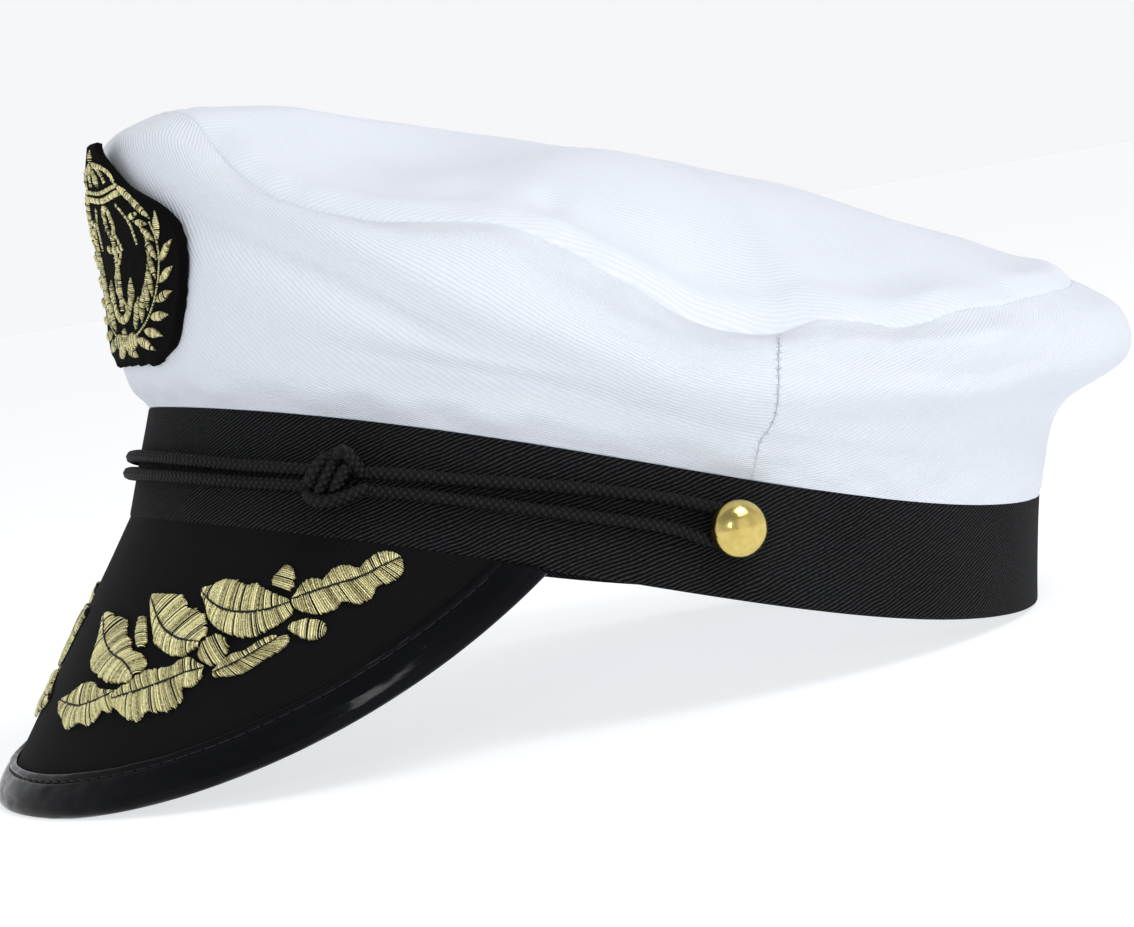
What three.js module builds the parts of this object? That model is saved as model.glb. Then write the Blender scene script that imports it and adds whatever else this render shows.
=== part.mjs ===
import * as THREE from 'three';
import { mergeVertices } from 'three/addons/utils/BufferGeometryUtils.js';

// Captain hat: black head band, white crown of one top and two side panels, black visor with a
// glossy binding, gold leaves, a badge patch and a twin cord between two brass buttons.
// Sizes are millimetres. In the hat's own frame the band is level with its lower edge near z = 0,
// the front faces -Y and the wearer's left is +X. A turn of 0 degrees is the front, 90 is +X.
const GAP = 0.3;

// Head band
const BAND_HALF_WIDTH = 85.5;
const BAND_HALF_LENGTH = 101;
const BAND_HEIGHT = 23.9;
const BAND_WALL = 2;
const BAND_FLARE = 1.8;
const EDGE_WAVE_TWO = 3.07;
const EDGE_WAVE_THREE = 1.63;

// Crown
const CROWN_RISE = 63;
const CROWN_OVERHANG = 17.5;
const CROWN_WALL = 1.5;
const SIDE_SEAM_ANGLE = 89.5;
const DOME_POWER = 2.3;
const FOLD_DEPTH = 3;
const FOLD_WIDTH = 5;
const DENT_DEPTH = 4;

// Visor
const VISOR_LENGTH = 66.3;
const VISOR_SPREAD_ANGLE = 67.3;
const VISOR_SLOPE_ANGLE = 70.9;
const VISOR_SIDE_SLOPE_ANGLE = 4.4;
const VISOR_FAN_RATIO = 1.104;
const VISOR_OUTLINE_POWER = 2.317;
const VISOR_WALL = 1.5;
const BINDING_WIDTH = 9;
const BINDING_WALL = 1;
const BLUNT_END = 1.5;

// Gold trim
const LEAF_WALL = 0.8;
const LEAF_RIB = 0.4;
const LEAF_LENGTH = 25;
const PATCH_HALF_WIDTH = 31.5;
const PATCH_HEIGHT = 46.5;
const PATCH_UP = 32.3;
const PATCH_SIDEWAYS = 5.5;
const PATCH_WALL = 1.3;
const PATCH_LIFT = 0.55;
const PATCH_LEAN_DEPTH = 3.2;
const BADGE_WALL = 0.8;

// Cord, its knots and its buttons
const CORD_RADIUS = 1.4;
const KNOT_HALF_LENGTH = 7;
const KNOT_WALL = 2.1;
const KNOT_BACK_WALL = 0.9;
const KNOT_CLEARANCE = 0.75;
const BUTTON_ANGLE = 87.4;
const BUTTON_UP = 13.8;
const BUTTON_RADIUS = 5.9;
const BUTTON_RIM = 0.9;
const BUTTON_DOME = 4.2;
const STEM_RADIUS = 1.6;

// How far the cloth gives where the hat rests on a surface
const REST_GIVE = 0.8;

// Section of the crown's side panels for each turn: three points between the band and the top
// seam. Every point lies out from the band by a share of CROWN_OVERHANG and up from the band's top
// by a share of CROWN_RISE.
const SIDE_ROWS = [
  { turn: 0, lowOut: 0.36, lowUp: 0.16, midOut: 0.63, midUp: 0.51, topOut: 0.92, topUp: 0.86 },
  { turn: 15, lowOut: 0.35, lowUp: 0.15, midOut: 0.66, midUp: 0.49, topOut: 0.92, topUp: 0.83 },
  { turn: 30, lowOut: 0.31, lowUp: 0.145, midOut: 0.74, midUp: 0.445, topOut: 0.77, topUp: 0.675 },
  { turn: 45, lowOut: 0.26, lowUp: 0.13, midOut: 0.69, midUp: 0.365, topOut: 0.71, topUp: 0.573 },
  { turn: 58, lowOut: 0.23, lowUp: 0.113, midOut: 0.66, midUp: 0.335, topOut: 0.66, topUp: 0.557 },
  { turn: 70, lowOut: 0.23, lowUp: 0.09, midOut: 0.63, midUp: 0.287, topOut: 0.63, topUp: 0.446 },
  { turn: 81, lowOut: 0.23, lowUp: 0.065, midOut: 0.63, midUp: 0.224, topOut: 0.57, topUp: 0.35 },
  { turn: 90, lowOut: 0.23, lowUp: 0.057, midOut: 0.63, midUp: 0.224, topOut: 0.57, topUp: 0.367 },
  { turn: 99, lowOut: 0.2, lowUp: 0.065, midOut: 0.66, midUp: 0.256, topOut: 0.63, topUp: 0.406 },
  { turn: 108, lowOut: 0.17, lowUp: 0.08, midOut: 0.69, midUp: 0.287, topOut: 0.66, topUp: 0.422 },
  { turn: 120, lowOut: 0.14, lowUp: 0.144, midOut: 0.74, midUp: 0.367, topOut: 0.74, topUp: 0.51 },
  { turn: 135, lowOut: 0.114, lowUp: 0.224, midOut: 0.83, midUp: 0.446, topOut: 0.8, topUp: 0.613 },
  { turn: 155, lowOut: 0.14, lowUp: 0.319, midOut: 0.94, midUp: 0.549, topOut: 0.8, topUp: 0.716 },
  { turn: 180, lowOut: 0.17, lowUp: 0.343, midOut: 0.99, midUp: 0.597, topOut: 0.8, topUp: 0.716 },
];

// Top seam of the crown for each turn, in the same shares
const SEAM_ROWS = [
  { turn: 0, out: 0.38, up: 1.0 },
  { turn: 12, out: 0.357, up: 0.972 },
  { turn: 18, out: 0.374, up: 0.878 },
  { turn: 24, out: 0.421, up: 0.784 },
  { turn: 30, out: 0.46, up: 0.709 },
  { turn: 36, out: 0.469, up: 0.664 },
  { turn: 43, out: 0.462, up: 0.64 },
  { turn: 50, out: 0.451, up: 0.642 },
  { turn: 57, out: 0.432, up: 0.66 },
  { turn: 63, out: 0.418, up: 0.63 },
  { turn: 69, out: 0.403, up: 0.563 },
  { turn: 75, out: 0.387, up: 0.483 },
  { turn: 81, out: 0.37, up: 0.41 },
  { turn: 86, out: 0.347, up: 0.403 },
  { turn: 90, out: 0.34, up: 0.42 },
  { turn: 94, out: 0.364, up: 0.473 },
  { turn: 98, out: 0.395, up: 0.484 },
  { turn: 103, out: 0.404, up: 0.482 },
  { turn: 107, out: 0.4, up: 0.505 },
  { turn: 111, out: 0.401, up: 0.555 },
  { turn: 115, out: 0.404, up: 0.588 },
  { turn: 120, out: 0.4, up: 0.617 },
  { turn: 125, out: 0.388, up: 0.655 },
  { turn: 131, out: 0.366, up: 0.695 },
  { turn: 138, out: 0.312, up: 0.73 },
  { turn: 155, out: 0.12, up: 0.805 },
  { turn: 180, out: -0.03, up: 0.845 },
];

// Ridge line of the top panel from the front (-1) to the back (+1), up by a share of CROWN_RISE.
const RIDGE_ROWS = [
  { along: -1, up: 1 },
  { along: -0.86, up: 1.055 },
  { along: -0.73, up: 1.083 },
  { along: -0.4, up: 1.083 },
  { along: 0, up: 1.068 },
  { along: 0.35, up: 1.028 },
  { along: 0.6, up: 0.982 },
  { along: 0.8, up: 0.945 },
  { along: 0.92, up: 0.9 },
  { along: 1, up: 0.845 },
];

// Drag folds of the side panels, each a straight run on both sides of the hat. Heights are shares
// of CROWN_RISE, depths of FOLD_DEPTH (below 0 is a raised roll) and widths of FOLD_WIDTH.
const FOLD_ROWS = [
  { turn: 20, up: 0.63, endTurn: 40, endUp: 0.475, depth: 0.8, width: 1 },
  { turn: 40, up: 0.475, endTurn: 54, endUp: 0.319, depth: 1, width: 1 },
  { turn: 54, up: 0.319, endTurn: 66, endUp: 0.235, depth: 0.6, width: 0.8 },
  { turn: 24, up: 0.73, endTurn: 45, endUp: 0.56, depth: -0.4, width: 1.2 },
  { turn: 45, up: 0.56, endTurn: 62, endUp: 0.38, depth: -0.4, width: 1.2 },
  { turn: 31, up: 0.24, endTurn: 47, endUp: 0.18, depth: 0.7, width: 0.8 },
  { turn: 47, up: 0.18, endTurn: 62, endUp: 0.165, depth: 0.9, width: 0.7 },
  { turn: 62, up: 0.165, endTurn: 77, endUp: 0.108, depth: 0.7, width: 0.7 },
  { turn: 65, up: 0.5, endTurn: 74, endUp: 0.38, depth: 0.5, width: 0.8 },
  { turn: 74, up: 0.38, endTurn: 87, endUp: 0.3, depth: 0.4, width: 0.8 },
  { turn: 96, up: 0.37, endTurn: 99, endUp: 0.43, depth: -0.35, width: 0.8 },
  { turn: 102, up: 0.41, endTurn: 110, endUp: 0.44, depth: -0.45, width: 0.8 },
  { turn: 113, up: 0.48, endTurn: 119, endUp: 0.53, depth: -0.45, width: 0.9 },
];

// Shallow dents of the top panel. Reach is a share of the way from its middle to its seam, size a
// share of BAND_HALF_WIDTH and depth a share of DENT_DEPTH (below 0 is a raised roll).
const DENT_ROWS = [
  { turn: 32, reach: 0.62, size: 0.22, depth: 0.9 },
  { turn: 47, reach: 0.85, size: 0.12, depth: -0.4 },
  { turn: 62, reach: 0.7, size: 0.16, depth: 0.4 },
  { turn: 78, reach: 0.6, size: 0.2, depth: -0.5 },
  { turn: 108, reach: 0.72, size: 0.24, depth: 0.9 },
  { turn: 150, reach: 0.75, size: 0.2, depth: 0.4 },
];

// Gold leaves of the visor. Turns are shares of VISOR_SPREAD_ANGLE, reaches of VISOR_LENGTH and widths
// of LEAF_LENGTH. Each row makes one leaf on the left and one on the right.
const LEAF_ROWS = [
  { name: 'long_leaf', turn: 0.575, reach: 0.185, tipTurn: 0.75, tipReach: 0.035, half: 0.13, lobes: 5 },
  { name: 'broad_leaf', turn: 0.535, reach: 0.215, tipTurn: 0.355, tipReach: 0.2, half: 0.2, lobes: 3 },
  { name: 'upper_bud', turn: 0.54, reach: 0.125, tipTurn: 0.555, tipReach: 0.055, half: 0.085, lobes: 0 },
  { name: 'outer_acorn', turn: 0.57, reach: 0.285, tipTurn: 0.64, tipReach: 0.235, half: 0.1, lobes: 0 },
  { name: 'narrow_leaf', turn: 0.46, reach: 0.455, tipTurn: 0.55, tipReach: 0.34, half: 0.12, lobes: 3 },
  { name: 'inner_acorn', turn: 0.42, reach: 0.37, tipTurn: 0.485, tipReach: 0.325, half: 0.095, lobes: 0 },
  { name: 'middle_leaf', turn: 0.395, reach: 0.35, tipTurn: 0.22, tipReach: 0.235, half: 0.18, lobes: 3 },
  { name: 'lower_bud', turn: 0.255, reach: 0.4, tipTurn: 0.24, tipReach: 0.32, half: 0.055, lobes: 0 },
  { name: 'third_leaf', turn: 0.27, reach: 0.475, tipTurn: 0.075, tipReach: 0.325, half: 0.17, lobes: 3 },
  { name: 'lower_leaf', turn: 0.235, reach: 0.575, tipTurn: 0.405, tipReach: 0.46, half: 0.14, lobes: 3 },
  { name: 'tip_leaf', turn: 0.21, reach: 0.61, tipTurn: 0.06, tipReach: 0.7, half: 0.16, lobes: 3 },
];

// Outline of the badge patch from its lower edge up: shares of its height and half width.
const PATCH_ROWS = [
  { up: 0, half: 0.5 },
  { up: 0.08, half: 0.74 },
  { up: 0.17, half: 0.88 },
  { up: 0.35, half: 1 },
  { up: 0.52, half: 1 },
  { up: 0.65, half: 0.9 },
  { up: 0.73, half: 0.72 },
  { up: 0.81, half: 0.42 },
  { up: 0.9, half: 0.24 },
  { up: 1, half: 0.09 },
];

// Route of the two cord strands on the band from the front to the button: a turn in degrees and
// heights above the band's lower edge in shares of BAND_HEIGHT, with the share of the lift that
// the knot's back wall asks for. Both sides follow it.
const CORD_ROUTE = [
  { turn: 0, upper: 0.552, lower: 0.397, lift: 0 },
  { turn: 14, upper: 0.54, lower: 0.393, lift: 0 },
  { turn: 28, upper: 0.531, lower: 0.393, lift: 0.15 },
  { turn: 35, upper: 0.54, lower: 0.406, lift: 0.7 },
  { turn: 42.3, upper: 0.556, lower: 0.423, lift: 1 },
  { turn: 50, upper: 0.594, lower: 0.444, lift: 0.65 },
  { turn: 58, upper: 0.628, lower: 0.456, lift: 0.07 },
  { turn: 70, upper: 0.699, lower: 0.481, lift: 0 },
  { turn: 80, upper: 0.736, lower: 0.498, lift: 0 },
];

const WHITE_TWILL = new THREE.MeshStandardMaterial({ color: 0xf3f4f8, roughness: 0.85, metalness: 0 });
const BLACK_TWILL = new THREE.MeshStandardMaterial({ color: 0x1b1b1e, roughness: 0.9, metalness: 0 });
const BLACK_FELT = new THREE.MeshStandardMaterial({ color: 0x151517, roughness: 0.95, metalness: 0 });
const BLACK_GLOSS = new THREE.MeshStandardMaterial({ color: 0x0b0b0d, roughness: 0.25, metalness: 0 });
const BLACK_CORD = new THREE.MeshStandardMaterial({ color: 0x121214, roughness: 0.8, metalness: 0 });
const GOLD_THREAD = new THREE.MeshStandardMaterial({ color: 0xcdb964, roughness: 0.45, metalness: 0.4 });
const BRASS = new THREE.MeshStandardMaterial({ color: 0xc9a23a, roughness: 0.22, metalness: 1 });

const RADIANS = Math.PI / 180;
const UPWARD = new THREE.Vector3(0, 0, 1);

// Point on the oval of the band, moved outward by out and standing at height up
function ringPoint(turn, out, up) {
  const angle = turn * RADIANS;
  const x = (BAND_HALF_WIDTH + out) * Math.sin(angle);
  const y = -(BAND_HALF_LENGTH + out) * Math.cos(angle);
  return new THREE.Vector3(x, y, up);
}

// Level outward direction of the oval at a turn
function ringOutward(turn) {
  const angle = turn * RADIANS;
  const x = Math.sin(angle) / BAND_HALF_WIDTH;
  const y = -Math.cos(angle) / BAND_HALF_LENGTH;
  return new THREE.Vector3(x, y, 0).normalize();
}

// Height of the band's wavy lower edge; the upper edge runs parallel to it
function edgeWave(turn) {
  const angle = turn * RADIANS;
  return EDGE_WAVE_TWO * Math.cos(2 * angle) - EDGE_WAVE_THREE * Math.cos(3 * angle);
}

// How far the band's outer face stands out at a share of its height
function flareAt(share) {
  return BAND_FLARE * (1 - share);
}

// Smooth curve through table rows: the value of one column at a place of another column
function alongRows(rows, placeColumn, valueColumn, place) {
  const last = rows.length - 1;
  let index = 0;
  while (index < last - 1 && place > rows[index + 1][placeColumn]) {
    index += 1;
  }
  const slopeAt = (row) => {
    if (row === 0 || row === last) {
      return 0;
    }
    const rise = rows[row + 1][valueColumn] - rows[row - 1][valueColumn];
    return rise / (rows[row + 1][placeColumn] - rows[row - 1][placeColumn]);
  };
  const span = rows[index + 1][placeColumn] - rows[index][placeColumn];
  const t = THREE.MathUtils.clamp((place - rows[index][placeColumn]) / span, 0, 1);
  const startWeight = 2 * t ** 3 - 3 * t ** 2 + 1;
  const startSlope = (t ** 3 - 2 * t ** 2 + t) * span * slopeAt(index);
  const endSlope = (t ** 3 - t ** 2) * span * slopeAt(index + 1);
  const ends = startWeight * rows[index][valueColumn] + (1 - startWeight) * rows[index + 1][valueColumn];
  return ends + startSlope + endSlope;
}

// Turn measured from the front to the back on either side, 0 to 180 degrees
function foldedTurn(turn) {
  const wrapped = ((turn % 360) + 360) % 360;
  return wrapped > 180 ? 360 - wrapped : wrapped;
}

// Unit normal of a surface of two parameters, by small differences
function normalOf(surface, u, v, stepU, stepV) {
  const alongU = surface(u + stepU, v).sub(surface(u - stepU, v));
  const alongV = surface(u, v + stepV).sub(surface(u, v - stepV));
  return alongU.cross(alongV).normalize();
}

// Closed solid between an outer and an inner grid of points. A wrapped grid closes on itself.
function gridSolid(columns, rows, outerPoint, innerPoint, wrapped) {
  const outer = [];
  const inner = [];
  for (let i = 0; i <= columns; i += 1) {
    const column = wrapped ? i % columns : i;
    outer.push([]);
    inner.push([]);
    for (let j = 0; j <= rows; j += 1) {
      outer[i].push(outerPoint(column, j));
      inner[i].push(innerPoint(column, j));
    }
  }
  const corners = [];
  const quad = (a, b, c, d) => corners.push(a, b, c, a, c, d);
  for (let i = 0; i < columns; i += 1) {
    for (let j = 0; j < rows; j += 1) {
      quad(outer[i][j], outer[i + 1][j], outer[i + 1][j + 1], outer[i][j + 1]);
      quad(inner[i][j], inner[i][j + 1], inner[i + 1][j + 1], inner[i + 1][j]);
    }
    quad(outer[i][0], inner[i][0], inner[i + 1][0], outer[i + 1][0]);
    quad(outer[i][rows], outer[i + 1][rows], inner[i + 1][rows], inner[i][rows]);
  }
  if (!wrapped) {
    for (let j = 0; j < rows; j += 1) {
      quad(outer[0][j], outer[0][j + 1], inner[0][j + 1], inner[0][j]);
      quad(outer[columns][j], inner[columns][j], inner[columns][j + 1], outer[columns][j + 1]);
    }
  }
  return closedGeometry(corners);
}

// Geometry from triangle corners, with equal corners merged, empty triangles dropped and the
// faces turned outward
function closedGeometry(corners) {
  const loose = new THREE.BufferGeometry().setFromPoints(corners);
  return cleanGeometry(loose);
}

function cleanGeometry(source) {
  const bare = new THREE.BufferGeometry();
  bare.setAttribute('position', source.getAttribute('position'));
  if (source.index) {
    bare.setIndex(source.index);
  }
  const merged = mergeVertices(bare, 1e-3);
  const index = merged.index.array;
  const position = merged.getAttribute('position');
  const corner = (k) => new THREE.Vector3().fromBufferAttribute(position, index[k]);
  const kept = [];
  let volume = 0;
  for (let k = 0; k < index.length; k += 3) {
    const [a, b, c] = [index[k], index[k + 1], index[k + 2]];
    if (a !== b && b !== c && c !== a) {
      kept.push(a, b, c);
      volume += corner(k).dot(corner(k + 1).cross(corner(k + 2)));
    }
  }
  if (volume < 0) {
    kept.reverse();
  }
  merged.setIndex(kept);
  merged.computeVertexNormals();
  return merged;
}

// Place on a side panel's section curve before folds: v runs from the band (0) to the seam (1)
function plainSide(turn, v) {
  const place = foldedTurn(turn);
  const out = [0];
  const up = [BAND_HEIGHT + edgeWave(turn) + GAP];
  for (const level of ['low', 'mid', 'top']) {
    out.push(CROWN_OVERHANG * alongRows(SIDE_ROWS, 'turn', `${level}Out`, place));
    up.push(BAND_HEIGHT + CROWN_RISE * alongRows(SIDE_ROWS, 'turn', `${level}Up`, place));
  }
  out.push(CROWN_OVERHANG * alongRows(SEAM_ROWS, 'turn', 'out', place));
  up.push(BAND_HEIGHT + CROWN_RISE * alongRows(SEAM_ROWS, 'turn', 'up', place));
  const rows = out.map((value, k) => ({ out: value, up: up[k] }));
  return ringPoint(turn, alongSection(rows, 'out', v), alongSection(rows, 'up', v));
}

// Smooth curve through the five points of a section, straight on past both ends
function alongSection(rows, column, v) {
  const last = rows.length - 1;
  const scaled = v * last;
  const index = THREE.MathUtils.clamp(Math.floor(scaled), 0, last - 1);
  const t = scaled - index;
  const value = (k) => {
    if (k < 0) {
      return 2 * rows[0][column] - rows[1][column];
    }
    if (k > last) {
      return 2 * rows[last][column] - rows[last - 1][column];
    }
    return rows[k][column];
  };
  const [before, start, end, after] = [value(index - 1), value(index), value(index + 1), value(index + 2)];
  const curve = (2 * before - 5 * start + 4 * end - after) * t ** 2;
  const twist = (3 * start - before - 3 * end + after) * t ** 3;
  return 0.5 * (2 * start + (end - before) * t + curve + twist);
}

// Depth of the drag folds at a place of the side panels
function foldDepth(turn, point) {
  const degree = (BAND_HALF_WIDTH + BAND_HALF_LENGTH) / 2 * RADIANS;
  const place = foldedTurn(turn) * degree;
  let deepest = 0;
  let highest = 0;
  for (const fold of FOLD_ROWS) {
    const start = new THREE.Vector2(fold.turn * degree, BAND_HEIGHT + fold.up * CROWN_RISE);
    const run = new THREE.Vector2(fold.endTurn * degree, BAND_HEIGHT + fold.endUp * CROWN_RISE).sub(start);
    const here = new THREE.Vector2(place, point.z).sub(start);
    const share = THREE.MathUtils.clamp(here.dot(run) / run.lengthSq(), 0, 1);
    const distance = here.sub(run.multiplyScalar(share)).length();
    const depth = FOLD_DEPTH * fold.depth * Math.exp(-((distance / (FOLD_WIDTH * fold.width)) ** 2));
    deepest = Math.max(deepest, depth);
    highest = Math.min(highest, depth);
  }
  return deepest + highest;
}

// Side panel surface with its folds, which fade out at the band and at the seam
function sideSurface(turn, v) {
  const point = plainSide(turn, v);
  const fade = Math.min(1, 8 * v, 5 * (1 - v));
  if (fade <= 0) {
    return point;
  }
  const normal = normalOf(plainSide, turn, v, 0.5, 0.02);
  return point.addScaledVector(normal, -fade * foldDepth(turn, point));
}

// Height of the top panel's ridge above the middle line at a distance y from the hat's middle
function ridgeHeight(y) {
  const front = -plainSide(0, 1).y;
  const back = plainSide(180, 1).y;
  const along = y < 0 ? y / front : y / back;
  return BAND_HEIGHT + CROWN_RISE * alongRows(RIDGE_ROWS, 'along', 'up', along);
}

// Top panel surface: reach runs from the middle (0) to the seam (1)
function topSurface(turn, reach) {
  const seam = plainSide(turn, 1);
  const y = reach * seam.y;
  const drop = (ridgeHeight(seam.y) - seam.z) * Math.abs(reach) ** DOME_POWER;
  const point = new THREE.Vector3(reach * seam.x, y, ridgeHeight(y) - drop);
  const fade = Math.min(1, 6 * (1 - reach));
  for (const dent of DENT_ROWS) {
    for (const side of [-1, 1]) {
      const middle = plainSide(side * dent.turn, 1).multiplyScalar(dent.reach);
      const distance = Math.hypot(point.x - middle.x, point.y - middle.y);
      const hollow = Math.exp(-((distance / (dent.size * BAND_HALF_WIDTH)) ** 2));
      point.z -= fade * DENT_DEPTH * dent.depth * hollow;
    }
  }
  return point;
}

// Shared frame of the seam between top and sides: normal of both and the way across, outward
function seamFrame(turn) {
  const side = normalOf(plainSide, turn, 1 - 0.02, 0.5, 0.02);
  const top = normalOf(topSurface, turn, 1 - 0.01, 0.5, 0.01).negate();
  const normal = side.add(top).normalize();
  const along = plainSide(turn + 0.5, 1).sub(plainSide(turn - 0.5, 1)).normalize();
  const across = along.clone().cross(normal).normalize();
  if (across.dot(ringOutward(turn)) < 0) {
    across.negate();
  }
  return { normal, across };
}

// One side panel of the crown between two turns
function crownSide(startTurn, endTurn, columns, rows) {
  const turnAt = (i) => startTurn + (endTurn - startTurn) * i / columns;
  const outer = (i, j) => {
    const point = sideSurface(turnAt(i), j / rows);
    return j === rows ? point.addScaledVector(seamFrame(turnAt(i)).across, GAP / 2) : point;
  };
  const inner = (i, j) => {
    const turn = turnAt(i);
    let normal = normalOf(sideSurface, turn, j / rows, 0.5, 0.02);
    if (j === 0) {
      normal = ringOutward(turn);
    } else if (j === rows) {
      normal = seamFrame(turn).normal;
    }
    return outer(i, j).addScaledVector(normal, -CROWN_WALL);
  };
  return gridSolid(columns, rows, outer, inner, false);
}

// Top panel of the crown, a dome with its folds
function crownTop(columns, rows) {
  const turnAt = (i) => 360 * i / columns;
  const outer = (i, j) => {
    const point = topSurface(turnAt(i), j / rows);
    return j === rows ? point.addScaledVector(seamFrame(turnAt(i)).across, -GAP / 2) : point;
  };
  const inner = (i, j) => {
    let normal = UPWARD;
    if (j === rows) {
      normal = seamFrame(turnAt(i)).normal;
    } else if (j > 0) {
      normal = normalOf(topSurface, turnAt(i), j / rows, 0.5, 0.01).negate();
    }
    return outer(i, j).addScaledVector(normal, -CROWN_WALL);
  };
  return gridSolid(columns, rows, outer, inner, true);
}

// Head band: an oval wall with wavy edges that flares a little towards its lower edge
function headBand(columns, rows) {
  const place = (i, j, inward) => {
    const turn = 360 * i / columns;
    const up = BAND_HEIGHT * j / rows + edgeWave(turn);
    return ringPoint(turn, flareAt(j / rows) - inward, up);
  };
  const outer = (i, j) => place(i, j, 0);
  const inner = (i, j) => place(i, j, BAND_WALL);
  return gridSolid(columns, rows, outer, inner, true);
}

// Length of the visor's ruling at a turn
function visorLength(turn) {
  const share = Math.min(Math.abs(turn) / VISOR_SPREAD_ANGLE, 1);
  return VISOR_LENGTH * (1 - share ** VISOR_OUTLINE_POWER);
}

// Upper face of the visor: straight rulings that leave the band's lower edge and fan out
function visorSurface(turn, reach) {
  const share = turn / VISOR_SPREAD_ANGLE;
  const slope = (VISOR_SLOPE_ANGLE + VISOR_SIDE_SLOPE_ANGLE * share ** 2) * RADIANS;
  const fan = VISOR_FAN_RATIO * turn * RADIANS;
  const start = ringPoint(turn, BAND_FLARE, edgeWave(turn) - GAP);
  const level = new THREE.Vector3(Math.sin(fan), -Math.cos(fan), 0).multiplyScalar(Math.cos(slope));
  const ruling = level.addScaledVector(UPWARD, -Math.sin(slope));
  return start.addScaledVector(ruling, reach);
}

function visorNormal(turn, reach) {
  return normalOf(visorSurface, turn, reach, 0.5, 0.5).negate();
}

// Walks a distance over the visor in the direction of a vector, in short straight steps
function walkOnVisor(turn, reach, direction, distance) {
  const steps = 4;
  let place = { turn, reach };
  for (let k = 0; k < steps; k += 1) {
    const here = visorSurface(place.turn, place.reach);
    const byTurn = visorSurface(place.turn + 0.5, place.reach).sub(here).multiplyScalar(2);
    const byReach = visorSurface(place.turn, place.reach + 0.5).sub(here).multiplyScalar(2);
    const mixed = byTurn.dot(byReach);
    const scale = byTurn.lengthSq() * byReach.lengthSq() - mixed ** 2;
    const [p, q] = [byTurn.dot(direction), byReach.dot(direction)];
    const turnStep = (p * byReach.lengthSq() - q * mixed) / scale;
    const reachStep = (q * byTurn.lengthSq() - p * mixed) / scale;
    place = {
      turn: place.turn + turnStep * distance / steps,
      reach: place.reach + reachStep * distance / steps,
    };
  }
  return place;
}

// Line over the visor at a distance inside its outer edge. It runs from the right end (-1) to the
// left end (+1), and each end lies where the line comes within endReach of the band.
function visorLine(inset, endReach) {
  const samples = 60;
  const half = [];
  for (let k = 0; k <= samples; k += 1) {
    const turn = VISOR_SPREAD_ANGLE * (1 - (1 - k / samples) ** 1.3);
    const edge = visorSurface(turn, visorLength(turn));
    const next = visorSurface(turn + 0.2, visorLength(turn + 0.2));
    const last = visorSurface(turn - 0.2, visorLength(turn - 0.2));
    const inward = visorNormal(turn, visorLength(turn)).cross(next.sub(last)).normalize();
    if (inward.z < 0) {
      inward.negate();
    }
    const place = walkOnVisor(turn, visorLength(turn), inward, inset);
    const before = half[half.length - 1];
    if (before && place.reach < endReach) {
      const share = (before.reach - endReach) / (before.reach - place.reach);
      half.push({ turn: THREE.MathUtils.lerp(before.turn, place.turn, share), reach: endReach });
      break;
    }
    half.push(place);
  }
  const lengths = [0];
  for (let k = 1; k < half.length; k += 1) {
    const step = visorSurface(half[k].turn, half[k].reach).distanceTo(
      visorSurface(half[k - 1].turn, half[k - 1].reach));
    lengths.push(lengths[k - 1] + step);
  }
  const whole = lengths[lengths.length - 1];
  return (share) => {
    const target = Math.abs(share) * whole;
    let k = 1;
    while (k < half.length - 1 && lengths[k] < target) {
      k += 1;
    }
    const t = (target - lengths[k - 1]) / (lengths[k] - lengths[k - 1]);
    return {
      turn: Math.sign(share) * THREE.MathUtils.lerp(half[k - 1].turn, half[k].turn, t),
      reach: THREE.MathUtils.lerp(half[k - 1].reach, half[k].reach, t),
    };
  };
}

// Point over the visor at a place and a lift along its normal
function overVisor(place, lift) {
  const normal = visorNormal(place.turn, place.reach);
  return visorSurface(place.turn, place.reach).addScaledVector(normal, lift);
}

// Visor board with its cloth, inside the binding
function visorBoard(columns, rows) {
  const edge = visorLine(BINDING_WALL + GAP, BLUNT_END);
  const endTurn = edge(1).turn;
  const placeAt = (i, j) => {
    const side = 2 * i / columns - 1;
    const outerPlace = edge(side);
    const bandTurn = side * endTurn;
    return {
      turn: THREE.MathUtils.lerp(bandTurn, outerPlace.turn, j / rows),
      reach: THREE.MathUtils.lerp(0, outerPlace.reach, j / rows),
    };
  };
  const outer = (i, j) => overVisor(placeAt(i, j), 0);
  const inner = (i, j) => overVisor(placeAt(i, j), -VISOR_WALL);
  return gridSolid(columns, rows, outer, inner, false);
}

// Binding folded around the visor's outer edge: each row is one line of its closed section
function visorBinding(columns) {
  const top = GAP + BINDING_WALL;
  const bottom = -VISOR_WALL - top;
  const section = [
    { inset: BINDING_WIDTH, lift: GAP },
    { inset: BINDING_WIDTH, lift: top },
    { inset: BINDING_WALL, lift: top },
    { inset: 0, lift: top - BINDING_WALL },
    { inset: 0, lift: bottom + BINDING_WALL },
    { inset: BINDING_WALL, lift: bottom },
    { inset: BINDING_WIDTH, lift: bottom },
    { inset: BINDING_WIDTH, lift: -VISOR_WALL - GAP },
    { inset: BINDING_WALL, lift: -VISOR_WALL - GAP },
    { inset: BINDING_WALL, lift: GAP },
  ];
  const caps = [
    [0, 1, 2, 9], [2, 8, 9], [2, 3, 8], [3, 4, 8], [4, 5, 8], [5, 6, 7, 8],
  ];
  const lines = section.map((point) => visorLine(point.inset, GAP));
  const at = (i, k) => overVisor(lines[k](2 * i / columns - 1), section[k].lift);
  return sweptSolid(columns, section.length, caps, at);
}

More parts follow.
